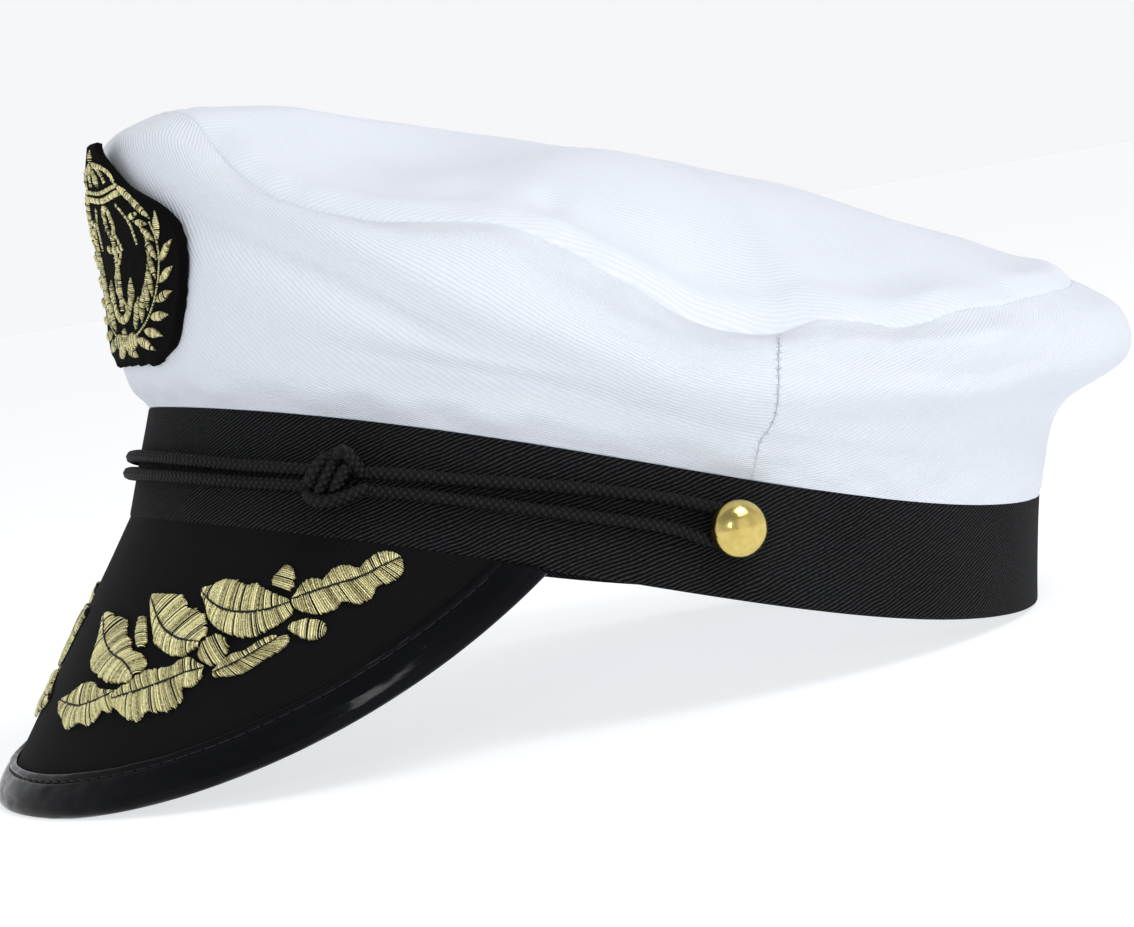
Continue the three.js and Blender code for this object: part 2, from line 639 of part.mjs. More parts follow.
// Closed solid swept through loops of points, one loop for each column. The caps list the fans of
// points that close both ends.
function sweptSolid(columns, loopLength, caps, at) {
  const loops = [];
  for (let i = 0; i <= columns; i += 1) {
    loops.push(Array.from({ length: loopLength }, (_, k) => at(i, k)));
  }
  const corners = [];
  for (let i = 0; i < columns; i += 1) {
    for (let k = 0; k < loopLength; k += 1) {
      const next = (k + 1) % loopLength;
      corners.push(loops[i][k], loops[i + 1][k], loops[i + 1][next]);
      corners.push(loops[i][k], loops[i + 1][next], loops[i][next]);
    }
  }
  for (const cap of caps) {
    for (let k = 1; k < cap.length - 1; k += 1) {
      const [a, b, c] = [cap[0], cap[k], cap[k + 1]];
      corners.push(loops[0][a], loops[0][b], loops[0][c]);
      corners.push(loops[columns][a], loops[columns][c], loops[columns][b]);
    }
  }
  return closedGeometry(corners);
}

// Half width of a leaf at a share of its length: round at the stem, lobed, narrow at the tip
function leafHalfWidth(row, share) {
  const body = Math.sin(Math.PI * (0.06 + 0.9 * share) ** 0.8) ** 0.7;
  const lobes = 1 - 0.12 * (1 - Math.cos(2 * Math.PI * row.lobes * share));
  return LEAF_LENGTH * row.half * body * (row.lobes > 0 ? lobes : 1);
}

// One raised leaf, acorn or bud that follows the visor, thicker along its rib
function visorLeaf(row, side) {
  const columns = row.lobes > 0 ? 8 : 5;
  const rows = 2;
  const placeAt = (share) => ({
    turn: side * VISOR_SPREAD_ANGLE * THREE.MathUtils.lerp(row.turn, row.tipTurn, share),
    reach: VISOR_LENGTH * THREE.MathUtils.lerp(row.reach, row.tipReach, share),
  });
  const crossPlace = (i, j) => {
    const place = placeAt(i / columns);
    const start = placeAt(i / columns - 0.01);
    const end = placeAt(i / columns + 0.01);
    const along = visorSurface(end.turn, end.reach).sub(visorSurface(start.turn, start.reach));
    const across = along.cross(visorNormal(place.turn, place.reach)).normalize();
    return walkOnVisor(place.turn, place.reach, across, (j - 1) * leafHalfWidth(row, i / columns));
  };
  const outer = (i, j) => overVisor(crossPlace(i, j), GAP + LEAF_WALL + (j === 1 ? LEAF_RIB : 0));
  const inner = (i, j) => overVisor(crossPlace(i, j), GAP);
  return gridSolid(columns, rows, outer, inner, false);
}

// Place on the crown's front for the badge: a level distance from the patch's middle, a height
// above its lower edge and a lift off the cloth. The patch is sewn a little to the wearer's left.
function overFront(level, up, lift) {
  const turn = (level + PATCH_SIDEWAYS) / ((BAND_HALF_WIDTH + CROWN_OVERHANG * 0.8) * RADIANS);
  const height = PATCH_UP + up;
  let low = 0;
  let high = 1;
  for (let k = 0; k < 30; k += 1) {
    const middle = (low + high) / 2;
    if (sideSurface(turn, middle).z < height) {
      low = middle;
    } else {
      high = middle;
    }
  }
  const normal = normalOf(sideSurface, turn, low, 0.5, 0.02);
  const lean = PATCH_LEAN_DEPTH * Math.max(0, up / PATCH_HEIGHT) ** 3;
  return sideSurface(turn, low).addScaledVector(normal, lift + lean);
}

// Badge patch of black felt on the crown's front
function badgePatch(columns, rows) {
  const place = (i, j, lift) => {
    const share = j / rows;
    const half = PATCH_HALF_WIDTH * alongRows(PATCH_ROWS, 'up', 'half', share);
    return overFront(half * (2 * i / columns - 1), PATCH_HEIGHT * share, lift);
  };
  const outer = (i, j) => place(i, j, PATCH_LIFT + PATCH_WALL);
  const inner = (i, j) => place(i, j, PATCH_LIFT);
  return gridSolid(columns, rows, outer, inner, false);
}

// Flat trim cut from an outline in shares of the patch's size and laid over the patch
function badgeTrim(shape) {
  const flat = new THREE.ExtrudeGeometry(shape, { depth: BADGE_WALL, bevelEnabled: false, curveSegments: 5 });
  const position = flat.getAttribute('position');
  for (let k = 0; k < position.count; k += 1) {
    const level = position.getX(k) * PATCH_HALF_WIDTH;
    const up = position.getY(k) * PATCH_HEIGHT;
    const lift = position.getZ(k) + PATCH_LIFT + PATCH_WALL + GAP;
    const point = overFront(level, up, lift);
    position.setXYZ(k, point.x, point.y, point.z);
  }
  return cleanGeometry(flat);
}

// Closed shape through table rows of level and up shares
function shapeOf(rows) {
  return new THREE.Shape(rows.map((row) => new THREE.Vector2(row.level, row.up)));
}

// Anchor: ring, stock, shank and two flukes, one half listed from the ring down
const ANCHOR_ROWS = [
  { level: 0.035, up: 0.6 },
  { level: 0.035, up: 0.555 },
  { level: 0.15, up: 0.57 },
  { level: 0.15, up: 0.525 },
  { level: 0.035, up: 0.51 },
  { level: 0.035, up: 0.27 },
  { level: 0.13, up: 0.31 },
  { level: 0.17, up: 0.41 },
  { level: 0.24, up: 0.32 },
  { level: 0.15, up: 0.23 },
  { level: 0, up: 0.18 },
];
const ANCHOR_RING = { level: 0, up: 0.655, radius: 0.085, hole: 0.045 };

// Crown of the badge, one half listed from its middle point down
const BADGE_CROWN_ROWS = [
  { level: 0, up: 0.955 },
  { level: 0.03, up: 0.9 },
  { level: 0.11, up: 0.89 },
  { level: 0.16, up: 0.85 },
  { level: 0.13, up: 0.78 },
  { level: 0.1, up: 0.76 },
  { level: 0, up: 0.75 },
];

const BOW_ROWS = [
  { level: 0, up: 0.14 },
  { level: 0.12, up: 0.16 },
  { level: 0.22, up: 0.1 },
  { level: 0.12, up: 0.05 },
  { level: 0, up: 0.07 },
];

// Mirrors half an outline to the other side and joins both
function bothHalves(rows) {
  const mirrored = rows.filter((row) => row.level > 0).map((row) => ({ level: -row.level, up: row.up }));
  return [...rows, ...mirrored.reverse()];
}

function anchorShape() {
  const down = ANCHOR_ROWS.filter((row) => row.up < ANCHOR_RING.up);
  const points = [];
  const ring = ANCHOR_RING;
  const squash = PATCH_HALF_WIDTH / PATCH_HEIGHT;
  const opening = Math.asin(ANCHOR_ROWS[0].level / ring.radius);
  const steps = 10;
  for (let k = 0; k <= steps; k += 1) {
    const angle = opening + (2 * Math.PI - 2 * opening) * k / steps;
    const level = -ring.radius * Math.sin(angle);
    points.push(new THREE.Vector2(level, ring.up - ring.radius * squash * Math.cos(angle)));
  }
  for (const row of down.slice(1)) {
    points.push(new THREE.Vector2(row.level, row.up));
  }
  for (const row of down.slice(1, -1).reverse()) {
    points.push(new THREE.Vector2(-row.level, row.up));
  }
  const shape = new THREE.Shape(points);
  const hole = [];
  for (let k = 0; k < 8; k += 1) {
    const angle = 2 * Math.PI * k / 8;
    const level = ring.hole * Math.cos(angle);
    hole.push(new THREE.Vector2(level, ring.up + ring.hole * squash * Math.sin(angle)));
  }
  shape.holes.push(new THREE.Path(hole));
  return shape;
}

// Half of the wreath: a curved stem with leaves that point up along both of its sides
function wreathShape(side) {
  const leaves = 7;
  const stem = (share) => {
    const angle = (-62 + 118 * share) * RADIANS;
    return new THREE.Vector2(side * 0.76 * Math.cos(angle), 0.46 + 0.39 * Math.sin(angle));
  };
  const outerSide = [];
  const innerSide = [];
  for (let k = 0; k < leaves; k += 1) {
    const start = stem(k / leaves);
    const tip = stem(Math.min((k + 1.15) / leaves, 1.02));
    const outward = new THREE.Vector2(start.x, start.y - 0.46).normalize();
    const size = 0.13 * (1 - 0.35 * k / leaves);
    outerSide.push(start.clone().addScaledVector(outward, 0.025));
    outerSide.push(tip.clone().addScaledVector(outward, size));
    innerSide.push(start.clone().addScaledVector(outward, -0.025));
    innerSide.push(tip.clone().addScaledVector(outward, -size));
  }
  const points = [...outerSide, stem(1.02), ...innerSide.reverse()];
  return new THREE.Shape(points);
}

// Centre of a cord strand on the band, at a height above the band's wavy lower edge
function cordPoint(turn, up, lift) {
  const out = flareAt(up / BAND_HEIGHT) + GAP + CORD_RADIUS + lift;
  return ringPoint(turn, out, up + edgeWave(turn));
}

// Turn on the band a distance along it from another turn near the buttons
function turnBy(turn, distance) {
  return turn + distance / (BAND_HALF_LENGTH * RADIANS);
}

const LOOP_RADIUS = STEM_RADIUS + GAP + CORD_RADIUS;
const KNOT_LIFT = KNOT_BACK_WALL + KNOT_CLEARANCE;

// Strand around the front between the two buttons; side is +1 for the upper and -1 for the lower
function cordStrand(strand, steps) {
  const column = strand > 0 ? 'upper' : 'lower';
  const half = CORD_ROUTE.map((row) => (
    { turn: row.turn, up: row[column] * BAND_HEIGHT, lift: row.lift * KNOT_LIFT }));
  const endUp = BUTTON_UP + strand * LOOP_RADIUS;
  half.push({ turn: turnBy(BUTTON_ANGLE, -LOOP_RADIUS), up: endUp, lift: 0 });
  half.push({ turn: BUTTON_ANGLE, up: endUp, lift: 0 });
  const mirrored = half.slice(1).map((row) => ({ ...row, turn: -row.turn })).reverse();
  const points = [...mirrored, ...half].map((row) => cordPoint(row.turn, row.up, row.lift));
  return tubeSolid(new THREE.CatmullRomCurve3(points, false, 'centripetal'), steps);
}

// Round section pulled along a curve
function tubeSolid(curve, steps) {
  const section = new THREE.Shape();
  const sides = 8;
  for (let k = 0; k < sides; k += 1) {
    const angle = 2 * Math.PI * (k + 0.5) / sides;
    const [x, y] = [CORD_RADIUS * Math.cos(angle), CORD_RADIUS * Math.sin(angle)];
    if (k === 0) {
      section.moveTo(x, y);
    } else {
      section.lineTo(x, y);
    }
  }
  section.closePath();
  const options = { steps, extrudePath: curve, bevelEnabled: false };
  return cleanGeometry(new THREE.ExtrudeGeometry(section, options));
}

// End of the cord behind a button: half a turn around the button's stem
function cordLoop(side, steps) {
  const points = [];
  const count = 12;
  const startAngle = Math.asin(GAP / LOOP_RADIUS);
  for (let k = 0; k <= count; k += 1) {
    const angle = startAngle + (Math.PI - 2 * startAngle) * k / count;
    const turn = turnBy(BUTTON_ANGLE, LOOP_RADIUS * Math.sin(angle));
    points.push(cordPoint(side * turn, BUTTON_UP + LOOP_RADIUS * Math.cos(angle), 0));
  }
  return tubeSolid(new THREE.CatmullRomCurve3(points), steps);
}

// Knot: a bulging ring around both strands, thin where it lies on the band
function cordKnot(side, columns) {
  const place = CORD_ROUTE.find((row) => row.lift === 1);
  const upper = cordPoint(place.turn, place.upper * BAND_HEIGHT, KNOT_LIFT);
  const lower = cordPoint(place.turn, place.lower * BAND_HEIGHT, KNOT_LIFT);
  const middle = upper.clone().add(lower).multiplyScalar(0.5);
  const outward = ringOutward(place.turn);
  const along = new THREE.Vector3().crossVectors(UPWARD, outward);
  const straight = upper.distanceTo(lower) / 2;
  const hole = CORD_RADIUS + KNOT_CLEARANCE;
  const section = [
    { along: -1, wall: 0 },
    { along: 1, wall: 0 },
    { along: 0.9, wall: 0.55 },
    { along: 0.45, wall: 1 },
    { along: -0.45, wall: 1 },
    { along: -0.9, wall: 0.55 },
  ];
  const at = (i, k) => {
    const angle = 2 * Math.PI * (i + 0.5) / columns;
    const [level, rise] = [Math.cos(angle), Math.sin(angle)];
    const wall = (level < -0.35 ? KNOT_BACK_WALL : KNOT_WALL) * section[k].wall;
    const size = hole / Math.cos(Math.PI / columns) + wall;
    const point = middle.clone().addScaledVector(along, KNOT_HALF_LENGTH * section[k].along);
    point.addScaledVector(outward, level * size);
    point.addScaledVector(UPWARD, rise * size + Math.sign(rise) * straight);
    point.x *= side;
    return point;
  };
  const corners = [];
  for (let i = 0; i < columns; i += 1) {
    for (let k = 0; k < section.length; k += 1) {
      const [nextI, nextK] = [(i + 1) % columns, (k + 1) % section.length];
      corners.push(at(i, k), at(nextI, k), at(nextI, nextK));
      corners.push(at(i, k), at(nextI, nextK), at(i, nextK));
    }
  }
  return closedGeometry(corners);
}

// Domed brass button on its stem; the profile is turned about the stem's axis
function brassButton() {
  const underside = GAP + 2 * CORD_RADIUS + GAP;
  const points = [new THREE.Vector2(0, 0), new THREE.Vector2(STEM_RADIUS, 0)];
  points.push(new THREE.Vector2(STEM_RADIUS, underside));
  points.push(new THREE.Vector2(BUTTON_RADIUS * 0.95, underside));
  points.push(new THREE.Vector2(BUTTON_RADIUS, underside + BUTTON_RIM / 2));
  points.push(new THREE.Vector2(BUTTON_RADIUS * 0.93, underside + BUTTON_RIM));
  const arcs = 6;
  for (let k = 1; k < arcs; k += 1) {
    const angle = Math.PI / 2 * k / arcs;
    const radius = BUTTON_RADIUS * 0.915 * Math.cos(angle);
    points.push(new THREE.Vector2(radius, underside + BUTTON_RIM + BUTTON_DOME * Math.sin(angle)));
  }
  points.push(new THREE.Vector2(0, underside + BUTTON_RIM + BUTTON_DOME));
  return cleanGeometry(new THREE.LatheGeometry(points, 14));
}

function namedMesh(name, geometry, material) {
  const mesh = new THREE.Mesh(geometry, material);
  mesh.name = name;
  return mesh;
}

// A button seated on the band with its axis along the band's outward direction
function buttonMesh(side) {
  const mesh = namedMesh(side > 0 ? 'button_left' : 'button_right', brassButton(), BRASS);
  const outward = ringOutward(side * BUTTON_ANGLE);
  const seat = cordPoint(side * BUTTON_ANGLE, BUTTON_UP, -CORD_RADIUS);
  mesh.quaternion.setFromUnitVectors(new THREE.Vector3(0, 1, 0), outward);
  mesh.position.copy(seat);
  return mesh;
}

const band = namedMesh('band', headBand(56, 2), BLACK_TWILL);
const board = namedMesh('visor', visorBoard(30, 4), BLACK_TWILL);
const binding = namedMesh('visor_binding', visorBinding(30), BLACK_GLOSS);

// How the hat rests: it leans on the visor's tip and on the back of the band. The tilt is found
// where the lowest points of both stand equally high.
function lowestAt(geometries, tilt) {
  let lowest = Infinity;
  for (const geometry of geometries) {
    const position = geometry.getAttribute('position');
    for (let k = 0; k < position.count; k += 1) {
      lowest = Math.min(lowest, position.getZ(k) * Math.cos(tilt) - position.getY(k) * Math.sin(tilt));
    }
  }
  return lowest;
}

function restTilt() {
  let low = 0;
  let high = 45 * RADIANS;
  for (let k = 0; k < 40; k += 1) {
    const tilt = (low + high) / 2;
    if (lowestAt([board.geometry, binding.geometry], tilt) < lowestAt([band.geometry], tilt)) {
      low = tilt;
    } else {
      high = tilt;
    }
  }
  return (low + high) / 2;
}

const tilt = restTilt();
const floorLevel = lowestAt([band.geometry], tilt) + REST_GIVE;

// Flattens what would reach below the surface that the hat rests on
function settle(geometry) {
  const position = geometry.getAttribute('position');
  for (let k = 0; k < position.count; k += 1) {
    const level = position.getZ(k) * Math.cos(tilt) - position.getY(k) * Math.sin(tilt);
    const raise = Math.max(0, floorLevel - level);
    const y = position.getY(k) - raise * Math.sin(tilt);
    const z = position.getZ(k) + raise * Math.cos(tilt);
    position.setXYZ(k, position.getX(k), y, z);
  }
  geometry.computeVertexNormals();
}

settle(band.geometry);
settle(board.geometry);
settle(binding.geometry);

const hat = new THREE.Group();
hat.add(band, board, binding);

// Crown panels, parted at the top seam and at the two side seams
const seamSlit = GAP / 2 / ((BAND_HALF_LENGTH + CROWN_OVERHANG / 2) * RADIANS);
const frontEnd = SIDE_SEAM_ANGLE - seamSlit;
const backStart = SIDE_SEAM_ANGLE + seamSlit;
hat.add(namedMesh('crown_top', crownTop(60, 6), WHITE_TWILL));
hat.add(namedMesh('crown_side_front', crownSide(-frontEnd, frontEnd, 30, 11), WHITE_TWILL));
hat.add(namedMesh('crown_side_back', crownSide(backStart, 360 - backStart, 30, 11), WHITE_TWILL));

// Visor leaves on both sides
for (const row of LEAF_ROWS) {
  hat.add(namedMesh(`visor_${row.name}_left`, visorLeaf(row, 1), GOLD_THREAD));
  hat.add(namedMesh(`visor_${row.name}_right`, visorLeaf(row, -1), GOLD_THREAD));
}

// Badge
hat.add(namedMesh('badge_patch', badgePatch(10, 10), BLACK_FELT));
hat.add(namedMesh('badge_anchor', badgeTrim(anchorShape()), GOLD_THREAD));
hat.add(namedMesh('badge_crown', badgeTrim(shapeOf(bothHalves(BADGE_CROWN_ROWS))), GOLD_THREAD));
hat.add(namedMesh('badge_bow', badgeTrim(shapeOf(bothHalves(BOW_ROWS))), GOLD_THREAD));
hat.add(namedMesh('badge_wreath_left', badgeTrim(wreathShape(1)), GOLD_THREAD));
hat.add(namedMesh('badge_wreath_right', badgeTrim(wreathShape(-1)), GOLD_THREAD));

// Twin cord, its knots and loops, and the buttons that hold it
hat.add(namedMesh('cord_upper', cordStrand(1, 46), BLACK_CORD));
hat.add(namedMesh('cord_lower', cordStrand(-1, 46), BLACK_CORD));
for (const side of [1, -1]) {
  const suffix = side > 0 ? 'left' : 'right';
  hat.add(namedMesh(`cord_loop_${suffix}`, cordLoop(side, 8), BLACK_CORD));
  hat.add(namedMesh(`cord_knot_${suffix}`, cordKnot(side, 12), BLACK_CORD));
  hat.add(buttonMesh(side));
}

// The resting hat stands on z = 0 with the middle of its footprint at the origin
hat.rotation.x = -tilt;
hat.updateMatrixWorld(true);
const bounds = new THREE.Box3().setFromObject(hat, true);
const middle = bounds.getCenter(new THREE.Vector3());
hat.position.set(-middle.x, -middle.y, -floorLevel);

const group = new THREE.Group();
group.add(hat);

export default group;
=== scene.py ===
import math

import bmesh
import bpy
import numpy as np
from mathutils import Euler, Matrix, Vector


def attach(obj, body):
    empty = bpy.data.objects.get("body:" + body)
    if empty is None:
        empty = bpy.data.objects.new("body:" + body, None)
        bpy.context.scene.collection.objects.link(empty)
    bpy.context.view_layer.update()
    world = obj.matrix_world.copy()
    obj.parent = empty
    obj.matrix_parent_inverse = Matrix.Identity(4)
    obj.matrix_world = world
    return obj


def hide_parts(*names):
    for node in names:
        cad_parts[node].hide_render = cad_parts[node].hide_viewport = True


# Captain hat: white twill crown, black twill band and visor, glossy binding, gold thread leaves,
# a felt badge patch and a twin braided cord held by two brass buttons.
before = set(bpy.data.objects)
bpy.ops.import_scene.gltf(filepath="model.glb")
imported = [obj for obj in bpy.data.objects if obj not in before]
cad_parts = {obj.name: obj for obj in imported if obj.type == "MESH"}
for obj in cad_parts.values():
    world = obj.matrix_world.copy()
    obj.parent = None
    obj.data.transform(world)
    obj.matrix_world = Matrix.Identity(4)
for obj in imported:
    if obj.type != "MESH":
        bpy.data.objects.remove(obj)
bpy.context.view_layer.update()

# Camera at the photograph's angle, in metres and degrees
camera = bpy.data.objects.new("camera", bpy.data.cameras.new("camera"))
camera.data.sensor_width = 36
camera.data.lens = 99.47
camera.data.clip_start = 0.01
camera.data.clip_end = 20
camera.location = (0.651337, -0.240252, 0.100247)
camera.rotation_euler = Euler([math.radians(a) for a in (85.61477, 9.86585, 68.85656)], "XYZ")
bpy.context.scene.collection.objects.link(camera)
bpy.context.scene.camera = camera

# Sizes of the hat in millimetres. In the hat's own frame the band is level with its lower edge
# near z = 0, the front faces -Y and the wearer's left is +X. A turn of 0 is the front, 90 is +X.
GAP = 0.3
BAND_HALF_WIDTH = 85.5
BAND_HALF_LENGTH = 101
BAND_HEIGHT = 23.9
BAND_WALL = 2
BAND_FLARE = 1.8
EDGE_WAVE_TWO = 3.07
EDGE_WAVE_THREE = 1.63
CROWN_RISE = 63
CROWN_OVERHANG = 17.5
CROWN_WALL = 1.5
SIDE_SEAM_TURN = 89.5
DOME_POWER = 2.3
VISOR_LENGTH = 66.3
VISOR_SPREAD = 67.3
VISOR_SLOPE = 70.9
VISOR_SIDE_SLOPE = 4.4
VISOR_FAN = 1.104
VISOR_OUTLINE_POWER = 2.317
VISOR_WALL = 1.5
BINDING_WIDTH = 9
BINDING_WALL = 1
PATCH_HALF_WIDTH = 31.5
PATCH_HEIGHT = 46.5
PATCH_UP = 32.3
PATCH_SIDEWAYS = 5.5
PATCH_WALL = 1.3
PATCH_LIFT = 0.55
PATCH_LEAN = 3.2
CORD_RADIUS = 1.4
BRAID_PITCH = 1.5
BRAID_YARNS = 4
KNOT_BACK_WALL = 0.9
KNOT_CLEARANCE = 0.75
BUTTON_TURN = 87.4
BUTTON_UP = 13.8
BUTTON_RADIUS = 5.9
BUTTON_RIM = 0.9
BUTTON_DOME = 4.2
STEM_RADIUS = 1.6

# How the hat rests on its visor tip and the back of its band
REST_TILT = 16.496416762408902
REST_PLACE = (0.0, 2.649974, 23.884078)

RADIANS = math.pi / 180

# Section of the crown's side panels for each turn: three points between the band and the top
# seam, as shares of CROWN_OVERHANG outward and of CROWN_RISE upward.
# Columns: turn, low out, low up, middle out, middle up, top out, top up
SIDE_ROWS = np.array([
    (0, 0.36, 0.16, 0.63, 0.51, 0.92, 0.86),
    (15, 0.35, 0.15, 0.66, 0.49, 0.92, 0.83),
    (30, 0.31, 0.145, 0.74, 0.445, 0.77, 0.675),
    (45, 0.26, 0.13, 0.69, 0.365, 0.71, 0.573),
    (58, 0.23, 0.113, 0.66, 0.335, 0.66, 0.557),
    (70, 0.23, 0.09, 0.63, 0.287, 0.63, 0.446),
    (81, 0.23, 0.065, 0.63, 0.224, 0.57, 0.35),
    (90, 0.23, 0.057, 0.63, 0.224, 0.57, 0.367),
    (99, 0.2, 0.065, 0.66, 0.256, 0.63, 0.406),
    (108, 0.17, 0.08, 0.69, 0.287, 0.66, 0.422),
    (120, 0.14, 0.144, 0.74, 0.367, 0.74, 0.51),
    (135, 0.114, 0.224, 0.83, 0.446, 0.8, 0.613),
    (155, 0.14, 0.319, 0.94, 0.549, 0.8, 0.716),
    (180, 0.17, 0.343, 0.99, 0.597, 0.8, 0.716),
])

# Top seam of the crown for each turn, in the same shares. Columns: turn, out, up
SEAM_ROWS = np.array([
    (0, 0.38, 1.0), (12, 0.357, 0.972), (18, 0.374, 0.878), (24, 0.421, 0.784), (30, 0.46, 0.709),
    (36, 0.469, 0.664), (43, 0.462, 0.64), (50, 0.451, 0.642), (57, 0.432, 0.66),
    (63, 0.418, 0.63), (69, 0.403, 0.563), (75, 0.387, 0.483), (81, 0.37, 0.41), (86, 0.347, 0.403),
    (90, 0.34, 0.42), (94, 0.364, 0.473), (98, 0.395, 0.484), (103, 0.404, 0.482),
    (107, 0.4, 0.505), (111, 0.401, 0.555), (115, 0.404, 0.588), (120, 0.4, 0.617),
    (125, 0.388, 0.655), (131, 0.366, 0.695), (138, 0.312, 0.73), (155, 0.12, 0.805),
    (180, -0.03, 0.845),
])

# Ridge line of the top panel from the front (-1) to the back (+1), as shares of CROWN_RISE
RIDGE_ROWS = np.array([
    (-1, 1), (-0.86, 1.055), (-0.73, 1.083), (-0.4, 1.083), (0, 1.068),
    (0.35, 1.028), (0.6, 0.982), (0.8, 0.945), (0.92, 0.9), (1, 0.845),
])


def unit(vectors):
    """Vectors scaled to length one."""
    return vectors / np.maximum(np.linalg.norm(vectors, axis=-1, keepdims=True), 1e-12)


def bell(value, middle, half):
    """Bell curve of height one around a middle."""
    return np.exp(-(((value - middle) / half) ** 2))


def run_length(points):
    """Length along a path up to each of its points."""
    return np.concatenate([[0], np.cumsum(np.linalg.norm(np.diff(points, axis=0), axis=1))])


def along_rows(places, values, place):
    """Smooth curve through table rows, level at both ends."""
    place = np.clip(place, places[0], places[-1])
    index = np.clip(np.searchsorted(places, place, side="left") - 1, 0, len(places) - 2)
    slopes = np.zeros(len(places))
    slopes[1:-1] = (values[2:] - values[:-2]) / (places[2:] - places[:-2])
    span = places[index + 1] - places[index]
    t = (place - places[index]) / span
    start_weight = 2 * t**3 - 3 * t**2 + 1
    start_slope = (t**3 - 2 * t**2 + t) * span * slopes[index]
    end_slope = (t**3 - t**2) * span * slopes[index + 1]
    return start_weight * values[index] + (1 - start_weight) * values[index + 1] + start_slope + end_slope


def ring_point(turn, out, up):
    """Point on the oval of the band, moved outward by out and standing at height up."""
    turn, out, up = np.broadcast_arrays(turn, out, up)
    angle = turn * RADIANS
    x = (BAND_HALF_WIDTH + out) * np.sin(angle)
    y = -(BAND_HALF_LENGTH + out) * np.cos(angle)
    return np.stack([x, y, up], axis=-1)


def ring_outward(turn):
    """Level outward direction of the oval at a turn."""
    angle = np.asarray(turn) * RADIANS
    x, y = np.sin(angle) / BAND_HALF_WIDTH, -np.cos(angle) / BAND_HALF_LENGTH
    return unit(np.stack([x, y, 0 * x], axis=-1))


def edge_wave(turn):
    """Height of the band's wavy lower edge; the upper edge runs parallel to it."""
    angle = np.asarray(turn) * RADIANS
    return EDGE_WAVE_TWO * np.cos(2 * angle) - EDGE_WAVE_THREE * np.cos(3 * angle)


def folded(turn):
    """Turn measured from the front to the back on either side, 0 to 180 degrees."""
    wrapped = np.mod(turn, 360)
    return np.where(wrapped > 180, 360 - wrapped, wrapped)


def normal_of(surface, u, v, step_u, step_v):
    """Unit normal of a surface of two parameters, by small differences."""
    along_u = surface(u + step_u, v) - surface(u - step_u, v)
    along_v = surface(u, v + step_v) - surface(u, v - step_v)
    return unit(np.cross(along_u, along_v))


def plain_side(turn, v):
    """Side panel surface before folds: v runs from the band (0) to the seam (1)."""
    turn, v = np.broadcast_arrays(np.asarray(turn, float), np.asarray(v, float))
    place = folded(turn)
    outs = [0 * place]
    ups = [BAND_HEIGHT + edge_wave(turn) + GAP]
    for rows, column in ((SIDE_ROWS, 1), (SIDE_ROWS, 3), (SIDE_ROWS, 5), (SEAM_ROWS, 1)):
        outs.append(CROWN_OVERHANG * along_rows(rows[:, 0], rows[:, column], place))
        ups.append(BAND_HEIGHT + CROWN_RISE * along_rows(rows[:, 0], rows[:, column + 1], place))
    return ring_point(turn, along_section(outs, v), along_section(ups, v))


def along_section(values, v):
    """Smooth curve through the five points of a section, straight on past both ends."""
    first, last = 2 * values[0] - values[1], 2 * values[-1] - values[-2]
    table = np.stack([first, *values, last])
    index = np.clip(np.floor(v * 4).astype(int), 0, 3)
    t = v * 4 - index
    before, start, end, after = (np.take_along_axis(table, (index + k)[None], 0)[0] for k in range(4))
    curve = (2 * before - 5 * start + 4 * end - after) * t**2
    twist = (3 * start - before - 3 * end + after) * t**3
    return 0.5 * (2 * start + (end - before) * t + curve + twist)


def visor_length(turn):
    """Length of the visor's ruling at a turn."""
    share = np.minimum(np.abs(turn) / VISOR_SPREAD, 1)
    return VISOR_LENGTH * (1 - share**VISOR_OUTLINE_POWER)


def visor_surface(turn, reach):
    """Upper face of the visor: straight rulings that leave the band's lower edge and fan out."""
    turn, reach = np.broadcast_arrays(np.asarray(turn, float), np.asarray(reach, float))
    slope = (VISOR_SLOPE + VISOR_SIDE_SLOPE * (turn / VISOR_SPREAD) ** 2) * RADIANS
    fan = VISOR_FAN * turn * RADIANS
    start = ring_point(turn, BAND_FLARE, edge_wave(turn) - GAP)
    level = np.stack([np.sin(fan), -np.cos(fan), 0 * fan], axis=-1) * np.cos(slope)[..., None]
    ruling = level - np.stack([0 * fan, 0 * fan, np.sin(slope)], axis=-1)
    return start + ruling * reach[..., None]


def visor_normal(turn, reach):
    """Upward normal of the visor."""
    return -normal_of(visor_surface, turn, reach, 0.5, 0.5)


def walk_on_visor(turn, reach, direction, distance):
    """Walks a distance over the visor in the direction of a vector, in short straight steps."""
    steps = 4
    for _ in range(steps):
        here = visor_surface(turn, reach)
        by_turn = (visor_surface(turn + 0.5, reach) - here) * 2
        by_reach = (visor_surface(turn, reach + 0.5) - here) * 2
        mixed = (by_turn * by_reach).sum(-1)
        turn_size, reach_size = (by_turn**2).sum(-1), (by_reach**2).sum(-1)
        scale = turn_size * reach_size - mixed**2
        p, q = (by_turn * direction).sum(-1), (by_reach * direction).sum(-1)
        turn = turn + (p * reach_size - q * mixed) / scale * distance / steps
        reach = reach + (q * turn_size - p * mixed) / scale * distance / steps
    return turn, reach


def over_visor(turn, reach, lift):
    """Point over the visor at a lift along its normal."""
    return visor_surface(turn, reach) + visor_normal(turn, reach) * np.asarray(lift)[..., None]


